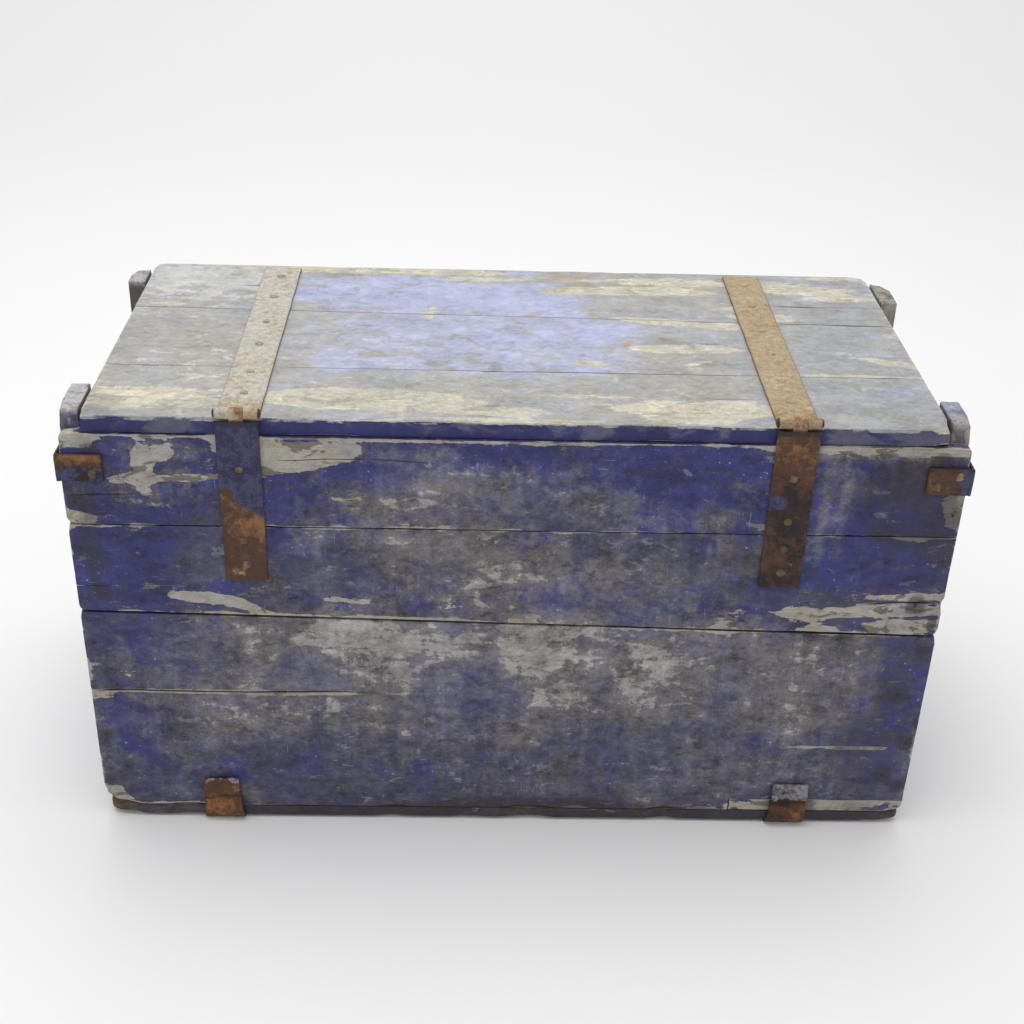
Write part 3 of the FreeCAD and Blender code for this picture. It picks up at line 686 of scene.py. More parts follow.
    colour = m.mix(bare, paint, timber)
    # Real stains, and in places painted shade: beside the hinge leaves, on the latch side's left
    # batten and on the bottom boards' edges.
    stain = m.step(m.sum(m.field("stain"), (veil, 1.1), (dust, 0.7), -0.9), 0.25, 0.75)
    if lip:
        colour = m.mix(m.times(stain, 0.75), colour, linear(178, 146, 100))
        front = m.step(m.sum(m.field("lip"), (flake, 0.9), (veil, 0.6), -0.75), 0.40, 0.50)
        blue = m.mix(m.step(m.sum(other, (veil, 0.6), -0.3), 0.49, 0.60), linear(46, 46, 104),
                     linear(88, 88, 112))
        blue = m.dim(blue, m.sum(1.0, (tone, 2.4), -1.2))
        colour = m.mix(m.times(front, m.step(bare_field, 0.25, 0.1)), colour, blue)
    else:
        colour = m.mix(m.times(stain, 0.65), colour, linear(47, 41, 50))
    split = m.cloud(m.stretched(grain, (22, 520, 520)), detail=2)
    splits = m.times(m.step(split, 0.70, 0.735), m.step(other, 0.50, 0.58))
    colour = m.mix(m.times(splits, 0.7), colour, linear(34, 30, 38))
    grime = m.step(m.sum(m.field("edge"), (dust, 0.6), -0.3), 0.75, 1.15, 0.0, 0.25)
    colour = m.mix(grime, colour, (0.012, 0.011, 0.013))
    colour = m.mix(m.step(m.field("crack"), 0.35, 0.8, 0.0, 0.9), colour, (0.006, 0.005, 0.005))

    normal = m.bump(fibre, 0.4 * MM, 0.5)
    normal = m.bump(m.sum(dust, (grit, 0.6), (tone, 1.5)), 0.5 * MM, 0.6, normal)
    normal = m.bump(m.step(bare_field, -0.03, 0.1, 1.0, 0.0), 0.35 * MM, 0.8, normal)
    rough = m.sum(0.52, (bare, 0.26), (dust, 0.25))
    return m.finish(colour, rough, normal)


def rusty_iron(name, scale, shades, paint, vary=1.0):
    """Pitted rust. The field "tone" runs through the shades, from 0 to 1.

    "pale" adds old whitish crust, and on the tops of the left hinge rolls a painted highlight;
    "paint" adds what is left of a coat of paint, in two colours. A further field darkens it,
    partly for dirt and partly as painted shade. vary is how much of the shade is left to chance.
    """
    m = Nodes(name)
    pits = m.cloud(m.place, 190.0, detail=6, rough=0.75)
    wide = m.cloud(m.place, 42.0 * scale, detail=6, rough=0.65, warp=0.6)
    crust = m.cells(m.place, 330.0)
    grit = m.cloud(m.place, 900.0, detail=3)
    tone = m.sum(m.field("tone"), (pits, 0.7 * vary), (wide, 1.1 * vary), (grit, 0.2),
                 -0.1 - 0.9 * vary)
    colour = shades[0]
    for i, shade in enumerate(shades[1:]):
        colour = m.mix(m.step(tone, (i + 0.1) / 3, (i + 0.9) / 3), colour, shade)
    pale = m.sum(m.field("pale"), (pits, 0.9), (wide, 0.8), -0.85)
    colour = m.mix(m.step(pale, 0.12, 0.45, 0.0, 0.85), colour, linear(184, 181, 170))
    flakes = m.sum(m.field("paint"), (pits, 1.0), (wide, 1.3), -1.15)
    shade = m.mix(m.step(m.sum(pits, (wide, 0.8), -0.4), 0.42, 0.58), *paint)
    colour = m.mix(m.step(flakes, 0.0, 0.10), colour, shade)
    colour = m.dim(colour, m.sum(1.0, (pits, 1.5), (grit, 0.5), -1.0))
    colour = m.mix(m.step(crust, 0.3, 0.05, 0.0, 0.25), colour, shades[0])
    # Darkening: partly dirt, partly painted shade along edges, in folds and under the hinge rolls.
    dirt = m.step(m.sum(m.field("dirt"), (pits, 0.8), -0.4), 0.3, 1.0, 0.0, 0.75)
    colour = m.mix(dirt, colour, linear(38, 32, 30))
    normal = m.bump(pits, 1.1 * MM, 0.8)
    normal = m.bump(m.sum(crust, (grit, 0.5)), 0.4 * MM, 0.5, normal)
    rough = m.sum(0.55, (pits, 0.45))
    return m.finish(colour, rough, normal)


WASHES = palette((114, 113, 127), (118, 114, 113), (166, 164, 160))
SIDE_WOOD = weathered_wood(
    "side_paint", palette((48, 49, 106), (70, 70, 92), (46, 43, 54)), WASHES,
    palette((176, 169, 156), (158, 150, 139), (162, 158, 156)), mottle=4.2, ragged=1.25, drips=0.9)
# Dark colours for the bottom boards' edges, partly painted shade along the floor.
EDGE_WOOD = weathered_wood(
    "edge_paint", palette((44, 41, 66), (56, 51, 56), (38, 33, 36)), WASHES,
    palette((108, 100, 92), (70, 62, 58), (92, 90, 94)), mottle=3.5, speck=0.2)
LID_WOOD = weathered_wood(
    "lid_boards", palette((171, 175, 204), (158, 159, 161), (150, 148, 142)),
    palette((170, 171, 176), (164, 161, 152), (196, 198, 198)),
    palette((212, 206, 184), (190, 184, 165), (186, 183, 172)),
    mottle=1.9, spread=0.6, ragged=1.05, speck=0.8, soft=0.17, lip=True)
BATTEN_WOOD = weathered_wood(
    "batten_paint", palette((74, 74, 104), (92, 91, 108), (62, 58, 66)),
    palette((158, 158, 176), (150, 146, 140), (180, 180, 184)),
    palette((168, 163, 150), (126, 120, 110), (160, 158, 152)), mottle=2.6, speck=0.3)
RAW_WOOD = weathered_wood(
    "raw_wood", palette((60, 60, 110), (90, 90, 110), (60, 56, 60)), WASHES,
    palette((158, 134, 104), (98, 78, 58), (136, 112, 84)), speck=0.2)
BLUE_COAT = palette((48, 48, 82), (68, 68, 98))
GREY_COAT = palette((98, 94, 104), (138, 134, 142))
RUST = palette((39, 30, 29), (83, 56, 41), (134, 95, 61), (172, 161, 138))
HINGE_IRON = rusty_iron("hinge_iron", 1.0, RUST, BLUE_COAT)
LID_IRON = rusty_iron(
    "lid_iron", 1.0, palette((92, 74, 58), (145, 119, 87), (171, 151, 120), (187, 183, 172)),
    BLUE_COAT, vary=0.7)
DARK_IRON = rusty_iron("dark_iron", 1.3, RUST, GREY_COAT)
FOOT_IRON = rusty_iron(
    "foot_iron", 1.0, palette((40, 32, 30), (86, 56, 38), (140, 92, 54), (176, 140, 112)),
    GREY_COAT)
NAIL_IRON = rusty_iron(
    "nail_iron", 2.0, palette((58, 47, 41), (95, 76, 61), (128, 107, 88), (166, 153, 138)),
    GREY_COAT)
DARK_NAIL = rusty_iron(
    "dark_nail", 2.0, palette((30, 26, 26), (50, 42, 40), (74, 62, 56), (104, 92, 84)), GREY_COAT)
PALE_NAIL = rusty_iron(
    "pale_nail", 2.0, palette((146, 130, 108), (164, 148, 126), (178, 166, 144), (188, 180, 164)),
    GREY_COAT)

# ---- the boards ----

H, F, T = 380, 174, 425  # half length, half depth and height in mm, for worn places
FRONT_SPOTS = (
    (-H, -F, 409, 34, 7), (H, -F, 409, 40, 7), (-H, -F, 2, 42, 16), (H, -F, 2, 26, 9),
    (-300, -F, 409, 34, 4), (260, -F, 409, 40, 3.5), (330, -F, 409, 40, 5), (-H, F, 409, 30, 8),
    (H, F, 409, 34, 9), (-H, F, 2, 26, 9), (H, F, 2, 32, 11), (-H, -F, 323, 9, 4),
    (H, -F, 253, 10, 5), (-H, -F, 235, 8, 3), (H, -F, 220, 10, 4), (-300, -F, 10, 26, 4),
    (-110, -F, 10, 22, 4), (20, -F, 10, 34, 5), (150, -F, 10, 20, 6), (200, F, 10, 30, 5),
    (-90, F, 10, 30, 4),
)
LID_SPOTS = (
    (361, -170, 425, 26, 7), (-361, -170, 425, 14, 4), (-361, 174, 425, 16, 4),
    (361, 174, 425, 18, 5), (361, -170, 409, 20, 5), (120, -170, 425, 30, 2.2),
    (-160, -170, 425, 50, 2.4),
)
HINGE_SHAKES = {
    "lower": ((-384, -95, 148.5, 1.6, 1.8), (236, 384, 91, 1.1, 1.6), (-60, 110, 66, 0.7, 0.8)),
    "middle": ((-384, -250, 262, 0.8, 1.0), (300, 384, 254, 1.6, 2.2)),
    "upper": ((-384, -300, 352, 0.9, 1.2), (-210, -60, 389, 0.7, 0.8)),
}
LATCH_SHAKES = {
    "lower": ((-300, 60, 120, 1.0, 1.4),),
    "middle": ((120, 384, 286, 1.0, 1.4),),
    "upper": ((-384, -180, 366, 0.8, 1.2),),
}
LID_SHAKES = {
    "hinge_side": ((-365, -300, -112, 0.9, 1.4), (150, 214, -118, 1.0, 1.6)),
    "middle": ((20, 200, -3, 0.6, 0.8),),
    "latch_side": ((-365, -230, 120, 0.8, 1.2), (240, 365, 92, 0.8, 1.2)),
}
# Start, end and height of the one split in each board of the left end.
END_SHAKES = {"upper": (-170, -20, 340), "middle": (-40, 95, 205), "lower": (60, 170, 92)}
lath_low, lath_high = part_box("repair_lath")
for level in ("upper", "middle", "lower"):
    notch = (lath_low.x - 0.3 * MM, lath_high.z + 0.3 * MM) if level == "lower" else None
    board(f"hinge_side_board_{level}", "xzy", SIDE_WOOD, spots=FRONT_SPOTS, out=-1,
          shakes=HINGE_SHAKES[level], notch=notch, step=(4.0, 2.6, 4.5), paint=hinge_paint)
    board(f"latch_side_board_{level}", "xzy", SIDE_WOOD, spots=FRONT_SPOTS,
          shakes=LATCH_SHAKES[level])
    for end, way in ENDS:
        start, stop, place = END_SHAKES[level]
        if way > 0:
            start, stop, place = -stop, -start, place + 22
        board(f"{end}_end_board_{level}", "yzx", SIDE_WOOD, out=way, wear=0.7,
              shakes=((start, stop, place, 0.9, 1.2),))
board("repair_lath", "xzy", SIDE_WOOD, wear=1.3, spots=FRONT_SPOTS, out=-1, paint=hinge_paint)
for part in ("hinge_side", "middle", "latch_side"):
    board("lid_board_" + part, "xyz", LID_WOOD, wear=1.1, spots=LID_SPOTS,
          shakes=LID_SHAKES[part], step=(4.0, 2.6, 4.5), end_wear=1.3, paint=lid_paint)
    board("bottom_board_" + part, "xyz", EDGE_WOOD, wear=1.4, spots=FRONT_SPOTS, out=-1,
          step=(6.0, 4.0, 4.5), paint=floor_paint)
for face in ("hinge", "latch"):
    for end, way in ENDS:
        low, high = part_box(f"batten_{face}_{end}")
        far = high.y if face == "latch" else low.y
        corner = 9 if (face, end) == ("latch", "right") else 5.5
        tops = ((way * H, far / MM, T, 22, corner), (way * 372, far / MM, T, 14, 4.5))
        board(f"batten_{face}_{end}", "zyx", BATTEN_WOOD, wear=1.8, spots=tops,
              out=way, shakes=((330, 428, (low.y + high.y) / 2 / MM, 1.0, 1.8),),
              step=(2.4, 2.0, 2.2), paint=batten_paint)
for end in ("left", "right"):
    board("lid_cleat_" + end, "yxz", RAW_WOOD, wear=1.0, out=-1, paint=raw_wood)

# ---- bent irons ----


class Route:
    """A flat path of straight runs and arcs, followed by a strap of iron."""

    def __init__(self, start, heading):
        self.points = [np.array(start, float)]
        self.heading = heading

    def run(self, length, step=3.0 * MM):
        count = max(1, round(length / step))
        way = np.array([math.cos(self.heading), math.sin(self.heading)])
        for _ in range(count):
            self.points.append(self.points[-1] + way * length / count)
        return self

    def turn(self, degrees, radius, pieces=None):
        count = pieces or max(4, round(abs(degrees) / 12))
        angle = math.radians(degrees) / count
        chord = 2 * radius * math.sin(abs(angle) / 2)
        for _ in range(count):
            self.heading += angle / 2
            way = np.array([math.cos(self.heading), math.sin(self.heading)])
            self.points.append(self.points[-1] + way * chord)
            self.heading += angle / 2
        return self


def strap(node, material, route, width, thick, place, seed, keep=None, borders=(),
          rough=1.0, fields=None):
    """A strip of iron of a width and thickness, bent along a route, for a CAD node.

    place(p, across) turns points of the path and distances across the strip into points
    in space. keep(run, across) says which cells of it exist, and borders are where they
    end across it. rough is how uneven it is.
    """
    path = np.array(route.points)
    steps = np.linalg.norm(np.diff(path, axis=0), axis=1)
    runs = np.concatenate([[0], np.cumsum(steps)])
    vs = lines(-width / 2, width / 2, 2.4 * MM, edge=(0.5,), extra=borders)
    ts = np.linspace(-thick / 2, thick / 2, 4)
    solid = None
    if keep is not None:
        mid_u, mid_v = (runs[1:] + runs[:-1]) / 2, (vs[1:] + vs[:-1]) / 2
        plan = np.array([[keep(u, v) for v in mid_v] for u in mid_u])
        solid = np.repeat(plan[:, :, None], len(ts) - 1, 2)
    grid, faces = shell(np.arange(len(runs), dtype=float), vs, ts, solid)
    at = grid[:, 0].astype(int)
    ahead = np.gradient(path, axis=0)
    ahead /= np.linalg.norm(ahead, axis=1, keepdims=True)
    normal = np.stack([-ahead[:, 1], ahead[:, 0]], 1)
    u, across, lift = runs[at], grid[:, 1], grid[:, 2]

    flat = np.stack([u, across, lift * 0], 1)
    edge = np.exp(-(width / 2 - np.abs(across)) / (1.5 * MM))
    ends = np.minimum(u, runs[-1] - u)
    edge = np.maximum(edge, np.exp(-ends / (1.5 * MM)))
    face = np.abs(lift) > thick * 0.4
    pit = rough_noise(flat * 130, seed) + 0.6 * noise(flat * 420, seed + 1)
    swell = 1 + rough * 0.09 * pit * face - 0.25 * edge * face
    across = across + rough * 0.35 * MM * noise(flat * 70 + 9, seed + 2) * np.sign(across)
    sag = rough * 0.12 * MM * noise(flat * 22, seed + 3)
    p = path[at] + normal[at] * (lift * swell + sag * 0.5)[:, None]
    points = place(p, across)
    # Dark edges and ends on every strap: painted shade along its rim, with grime.
    values = {"tone": 0 * u + 0.3, "pale": 0 * u - 0.2, "paint": 0 * u - 1, "dirt": 0.75 * edge}
    if fields:
        values.update(fields(points))
    ob = worn_piece(node, points, faces, values, material)
    bevel = ob.modifiers.new("worn_edge", "BEVEL")
    bevel.width = 0.35 * MM
    bevel.segments = 2
    bevel.limit_method = "ANGLE"
    bevel.angle_limit = math.radians(55)


def across_x(middle):
    """Places a path drawn in the Y-Z plane, with the strip's width along X."""
    return lambda p, across: np.stack([middle + across, p[:, 0], p[:, 1]], 1)


def across_z(middle):
    """Places a path drawn in the X-Y plane, with the strip's width along Z."""
    return lambda p, across: np.stack([p[:, 0], p[:, 1], middle + across], 1)


LEAF = 2.4 * MM  # thickness of the corner irons and the hasp
KNUCKLE_GAP = 0.4 * MM
EYE_REACH = 5.2 * MM  # from a hinge's axis to where its leaves are whole
joint_at = {j["name"]: Vector(j["pos_m"]) for j in frame["joints"]}


def knuckles(width):
    """Where the three knuckles of a hinge begin and end across its width."""
    each = (width - 2 * KNUCKLE_GAP) / 3
    starts = [-width / 2 + i * (each + KNUCKLE_GAP) for i in range(3)]
    return [(start, start + each) for start in starts]


def leaf_with_eyes(node, material, width, thick, route, flat_length, which, middle, **more):
    """A leaf whose rolled end is cut into knuckles; which lists the ones it keeps."""
    eyes = knuckles(width)

    def keep(u, v):
        return u < flat_length or any(eyes[i][0] < v < eyes[i][1] for i in which)

    strap(node, material, route, width, thick, across_x(middle), keep=keep,
          borders=[v for pair in eyes for v in pair], **more)


def blotch(points, marks):
    """Soft round spots (x, y, z, radius, strength), in mm."""
    total = np.zeros(len(points))
    for x, y, z, size, strength in marks:
        away = np.linalg.norm(points - np.array([x, y, z]) * MM, axis=1) / (size * MM)
        total += strength * np.exp(-away ** 2)
    return total


axis = joint_at["lid_hinge"]
# Heights and distances across, in metres, between which the look of the hinges changes; the second
# pair bounds a painted highlight along the top of the roll.
KNUCKLE_FOOT, KNUCKLE_HIGHLIGHT, LEAF_EDGE = (0.4240, 0.4262), (0.4318, 0.4340), (0.0165, 0.018)
for end, way in ENDS:
    low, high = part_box("lid_strap_" + end)
    leaf_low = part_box("hinge_leaf_" + end)[0]
    width, middle = high.x - low.x, (high.x + low.x) / 2
    lid_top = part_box("lid_board_middle")[1].z
    wood_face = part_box("hinge_side_board_upper")[0].y
    thick = wood_face - leaf_low.y
    roll = (axis.z - lid_top) - thick / 2
    flat = high.y - axis.y
    route = Route((high.y, lid_top + thick / 2), math.pi).run(flat).turn(-300, roll)

    def lid_fields(points):
        near = smooth(-points[:, 1], 0.120, 0.166)
        roll_highlight = smooth(points[:, 2], *KNUCKLE_HIGHLIGHT)
        tone = 0.62 - 0.10 * near if way > 0 else 0.92 - 0.18 * near
        # On the left strap the pale term along the top of the roll is a painted highlight.
        pale = (0.24 - 0.25 * near if way < 0 else -0.04) + 0.3 * roll_highlight * (way < 0)
        pale += blotch(points, ((254, -138, 427, 7, 0.5), (262, -122, 427, 5, 0.4)))
        return {"tone": tone + 0.12 * noise(points * 25, 3),
                "pale": pale + 0.12 * noise(points * 30, 5)}

    leaf_with_eyes("lid_strap_" + end, LID_IRON, width, thick, route, flat - EYE_REACH, (0, 2),
                   middle, seed=21 + way, fields=lid_fields)
    drop = axis.z - leaf_low.z
    route = Route((leaf_low.y + thick / 2, leaf_low.z), math.pi / 2).run(drop).turn(-300, roll)

    def leaf_fields(points):
        z = points[:, 2]
        if way < 0:
            paint = 0.85 * smooth(z, 0.318, 0.346) - 0.45
            paint -= 1.3 * blotch(points, ((-246, -176, 354, 8, 1.0), (-236, -176, 334, 14, 0.6)))
            tone = 0.33 + 0.25 * blotch(points, ((-222, -176, 330, 20, 1.0),))
        else:
            band = np.exp(-((z - 0.357) / 0.011) ** 2)
            band = band * smooth(middle + 0.010 - points[:, 0], 0, 0.016)
            paint = 0.95 * band - 0.6
            tone = 0.16 + 0.30 * smooth(z, 0.366, 0.40)
        knuckle = smooth(z, *KNUCKLE_FOOT)
        tone = tone * (1 - knuckle) + knuckle * 0.80
        foot = smooth(-z, -0.326, -0.30)
        pale = (0.05 + 0.45 * noise(points * 75, 8)) * foot - 0.2
        # Painted shade on the leaf just below the roll, and painted shade with grime along its
        # sides.
        under = smooth(z, 0.414, 0.4235) * (1 - knuckle)
        edge = smooth(np.abs(points[:, 0] - middle), *LEAF_EDGE)
        # The pale term on the left knuckle's top is a painted highlight.
        return {"paint": paint - 2 * knuckle, "tone": tone, "dirt": under + 0.5 * edge,
                "pale": pale + 0.35 * knuckle * smooth(z, *KNUCKLE_HIGHLIGHT) * (way < 0)}

    leaf_with_eyes("hinge_leaf_" + end, HINGE_IRON, width, thick, route, drop - EYE_REACH, (1,),
                   middle, seed=31 + way, fields=leaf_fields)

for face, side in (("hinge", -1), ("latch", 1)):
    for end, way in ENDS:
        node = f"corner_iron_{face}_{end}"
        low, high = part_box(node)
        thick = LEAF
        out_x = high.x if way > 0 else low.x
        out_y = high.y if side > 0 else low.y
        leg_x, leg_y = high.x - low.x - thick, high.y - low.y - thick
        start = (out_x - way * (leg_x + thick), out_y - side * thick / 2)
        route = Route(start, 0.0 if way > 0 else math.pi)
        route.run(leg_x).turn(90 * side * way, thick / 2 + 0.3 * MM, 5)
        route.heading = -side * math.pi / 2
        route.run(leg_y)

        def corner_fields(points):
            up = smooth(points[:, 2], 0.376, 0.388)
            rust = up if way < 0 else 0.8 * smooth(-np.abs(points[:, 0]), -0.380, -0.362)
            return {"paint": 0.12 - 0.7 * rust, "tone": (0.42 if way < 0 else 0.20) * rust + 0.1}

        strap(node, HINGE_IRON, route, high.z - low.z, thick, across_z((high.z + low.z) / 2),
              seed=41 + way + 3 * side, fields=corner_fields)


def wander(across, z):
    """Points on a bottom iron, and how far up or down its folds wander there."""
    at = np.stack([across, 0 * z, z], 1)
    return at, 3.0 * MM * noise(at * 70, 77)


for end, way in ENDS:
    node = "bottom_strap_" + end
    low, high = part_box(node)
    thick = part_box("bottom_board_middle")[0].z - low.z
    bend = 4.0 * MM
    route = Route((low.y + thick / 2, high.z), -math.pi / 2)
    route.run(high.z - thick / 2 - bend).turn(90, bend)
    route.run(high.y - low.y - thick - 2 * bend, 5 * MM).turn(90, bend)
    route.run(high.z - thick / 2 - bend)
    bulge = (3.4 if way < 0 else 4.2) * MM
    middle = (low.x + high.x) / 2

    def bottom_place(p, across):
        z, front = p[:, 1], smooth(-p[:, 0], 0.15, 0.17)
        at, sway = wander(across, z)
        belly = np.exp(-((z - 0.014 - sway) / 0.008) ** 2)
        fold = np.exp(-((z - 0.026 - sway) / 0.0022) ** 2)
        brow = np.exp(-((z - 0.034 - sway) / 0.005) ** 2)
        out = bulge * belly - 1.8 * MM * fold + 0.5 * bulge * brow
        out += 1.5 * MM * (1 + rough_noise(at * 80, 71 + way)) * smooth(z, 0.0, 0.012)
        spread = smooth(-z, -0.036, -0.008)
        wide = 1 + front * (0.09 * spread - 0.04)
        lean = way * (-1.5 * spread - 0.02) * MM * front
        lean = lean + 0.9 * MM * noise(at * 60, 75 + way) * front
        drop = -1.6 * MM * smooth(z, 0.036, 0.048) * (0.5 + noise(at * 90, 79 + way)) * front
        return np.stack([middle + across * wide + lean, p[:, 0] - np.maximum(out, 0) * front,
                         np.maximum(z + drop, 0)], 1)

    def bottom_fields(points):
        z = points[:, 2]
        across = points[:, 0] - middle
        sway = wander(across, z)[1]
        # Painted shade in the fold, and darker at the foot.
        fold = np.exp(-((z - 0.026 - sway) / 0.0020) ** 2) + 0.8 * smooth(-z, -0.010, -0.002)
        top = smooth(z, 0.026, 0.034)
        if way > 0:
            # A painted shadow for a slot that the mesh does not have.
            slot_shadow = np.exp(-((z - 0.041) / 0.0022) ** 2 - (across / 0.008) ** 4)
            return {"paint": 0.8 * top - 0.6, "tone": 0.2 + 0.25 * smooth(across, -0.004, 0.008),
                    "pale": 0.1 * top - 0.25, "dirt": fold + slot_shadow}
        rim = smooth(z, 0.041, 0.047)
        return {"paint": 0.55 * rim - 0.45, "tone": 0.50 - 0.1 * top, "pale": 0.3 * rim - 0.25,
                "dirt": fold}

    strap(node, FOOT_IRON, route, high.x - low.x, thick, bottom_place, seed=51 + way,
          rough=1.6, fields=bottom_fields)

# ---- hasp ----

hasp_axis = joint_at["hasp_hinge"]
low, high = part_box("hasp_plate")
latch_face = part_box("latch_side_board_upper")[1].y
thick = LEAF
roll = hasp_axis.y - latch_face - thick / 2
length = hasp_axis.z - low.z
route = Route((latch_face + thick / 2, low.z), math.pi / 2).run(length).turn(-300, roll)
leaf_with_eyes("hasp_plate", DARK_IRON, high.x - low.x, thick, route, length - EYE_REACH, (0, 2),
               0.0, seed=61)
low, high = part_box("hasp_leaf")
length = hasp_axis.z - low.z
slot_below, slot_half, slot_wide = 45 * MM, 4 * MM, 11.5 * MM
slot_at = length - slot_below
route = Route((hasp_axis.y + roll, low.z), math.pi / 2)
route.run(slot_at - slot_half).run(2 * slot_half).run(slot_below - slot_half).turn(300, roll)
eyes = knuckles(high.x - low.x)


def hasp_place(p, across):
    """Rounds the two lower corners of the leaf."""
    depth = np.clip((low.z + 8 * MM - p[:, 1]) / (8 * MM), 0, 1)
    limit = 1 - (8 / 19) * (1 - np.sqrt(1 - depth ** 2))
    return np.stack([across * limit, p[:, 0], p[:, 1]], 1)


def hasp_keep(u, v):
    in_slot = abs(u - slot_at) < slot_half and abs(v) < slot_wide
    return not in_slot and (u < length - EYE_REACH or eyes[1][0] < v < eyes[1][1])


borders = [v for pair in eyes for v in pair] + [-slot_wide, slot_wide]
strap("hasp_leaf", DARK_IRON, route, high.x - low.x, thick, hasp_place, seed=62,
      keep=hasp_keep, borders=borders)

# ---- round bars, pins and nails ----


def bent_path(points, bends, step=2.0 * MM):
    """Points along straight runs joined by arcs of the given radii."""
    path = [Vector(points[0])]
    for before, at, after, bend in zip(points, points[1:], points[2:], bends):
        at = Vector(at)
        back, on = (Vector(before) - at).normalized(), (Vector(after) - at).normalized()
        half = back.angle(on) / 2
        enter = at + back * bend / math.tan(half)
        centre = at + (back + on).normalized() * bend / math.sin(half)
        arm, turn = enter - centre, math.pi - 2 * half
        spin = on.cross(back).normalized()
        path += [centre + Matrix.Rotation(turn * i / 10, 3, spin) @ arm for i in range(11)]
    path.append(Vector(points[-1]))
    dense = [path[0]]
    for a, b in zip(path, path[1:]):
        count = max(1, round((b - a).length / step))
        dense += [a.lerp(b, (i + 1) / count) for i in range(count)]
    return dense


def ring_faces(rings, sides, loop=False):
    """Quads between rings of points, which form a loop or have a cap at each end."""
    faces = []
    for i in range(rings if loop else rings - 1):
        here, there = i * sides, (i + 1) % rings * sides
        for k in range(sides):
            n = (k + 1) % sides
            faces.append((here + k, here + n, there + n, there + k))
    if not loop:
        faces.append(tuple(range(sides))[::-1])
        faces.append(tuple((rings - 1) * sides + k for k in range(sides)))
    return faces


def bar(path, radius, up, seed, sides=16, hammer=0.05, swell=None):
    """Points and faces of a closed round bar along a flat path with normal up.

    hammer is how uneven it is, and swell(share) how much thicker it is along its length.
    """
    points, count = [], len(path)
    for i, p in enumerate(path):
        ahead = (path[min(i + 1, count - 1)] - path[max(i - 1, 0)]).normalized()
        side = ahead.cross(up).normalized()
        for k in range(sides):
            angle = 2 * math.pi * k / sides
            points.append((p, side * math.cos(angle) + up * math.sin(angle), i))
    base = np.array([p for p, _, _ in points])
    out = np.array([d for _, d, _ in points])
    ring = np.array([i for _, _, i in points])
    size = radius * (1 + hammer * rough_noise(base * 90 + out * 1.5, seed))
    if swell is not None:
        size = size * swell(ring / (count - 1))
    return base + out * size[:, None], ring_faces(count, sides)


def turned(profile, origin, along, seed, sides=18, lumpy=0.04):
    """A solid of revolution from (distance, radius) pairs, with a slightly uneven outline."""
    along = Vector(along).normalized()
    side = along.orthogonal().normalized()
    other = along.cross(side)
    grid = []
    wobble = np.random.default_rng(seed).normal(0, lumpy, (3, 2))
    for distance, radius in profile:
        for k in range(sides):
            angle = 2 * math.pi * k / sides
            uneven = 1 + sum(c * math.cos((i + 2) * angle) + s * math.sin((i + 2) * angle)
                             for i, (c, s) in enumerate(wobble))
            out = side * math.cos(angle) + other * math.sin(angle)
            grid.append(Vector(origin) + along * distance + out * radius * uneven)
    return grid, ring_faces(len(profile), sides)


def joined(node, solids, material):
    """One piece from several closed solids."""
    points, faces = [], []
    for grid, quads in solids:
        faces += [tuple(v + len(points) for v in f) for f in quads]
        points += [tuple(p) for p in grid]
    at = np.array(points)
    values = {"dirt": 0 * at[:, 0], "tone": 0.4 + 0.2 * noise(at * 60, 2),
              "pale": -0.15 + 0.3 * noise(at * 50, 4), "paint": -1 + 0 * at[:, 0]}
    worn_piece(node, points, faces, values, material)


# Distance and radius in mm along a clout nail, from its surface out, and a sunk nail.
CLOUT_HEAD = 1.4
CLOUT = ((CLOUT_HEAD, 0.6), (1.35, 2.0), (1.0, 3.0), (0.45, 3.5), (0.0, 3.7), (-0.4, 3.5),
         (-0.5, 1.4), (-6, 1.3))
SUNK = ((-0.25, 0.7), (-0.3, 1.8), (-0.55, 2.3), (-1.4, 2.3), (-1.5, 1.2), (-5, 1.1))


def nail_group(node, out_of, profile, material=NAIL_IRON):
    """A nail for each solid of a CAD nail group; out_of(centre) is the way it looks."""
    shapes = []
    random = np.random.default_rng(seed_of(node))
    for i, (low, high) in enumerate(nail_boxes(node)):
        centre = (low + high) / 2
        out = np.array(out_of(centre), float)
        surface = np.where(out > 0, high, np.where(out < 0, low, centre))
        proud = CLOUT_HEAD * MM if profile is CLOUT else 0.0
        at = surface - out * proud
        tilt = Vector(out + random.normal(0, 0.07, 3))
        size = 1 + random.normal(0, 0.06)
        cut = [(d * MM, r * MM * size) for d, r in profile]
        shapes.append(turned(cut[::-1], at, tilt, seed_of(node) + i))
    joined(node, shapes, material)


def out_in_y(centre):
    return (0, math.copysign(1, centre[1]), 0)


def out_of_corner(centre):
    """Corner nails near the chest's end point out of the end, the others out of the side."""
    on_end = abs(centre[0]) > 0.3725
    return (math.copysign(1, centre[0]), 0, 0) if on_end else out_in_y(centre)


nail_group("lid_strap_nails", lambda c: (0, 0, 1), CLOUT, PALE_NAIL)
nail_group("hinge_leaf_nails", out_in_y, CLOUT)
nail_group("corner_iron_nails", out_of_corner, CLOUT)
nail_group("bottom_strap_nails", out_in_y, CLOUT)
nail_group("hasp_nails", out_in_y, CLOUT)
nail_group("side_board_nails", out_in_y, SUNK, DARK_NAIL)
nail_group("end_board_nails", lambda c: (math.copysign(1, c[0]), 0, 0), SUNK, DARK_NAIL)
nail_group("bottom_board_nails", lambda c: (0, 0, -1), SUNK, DARK_NAIL)


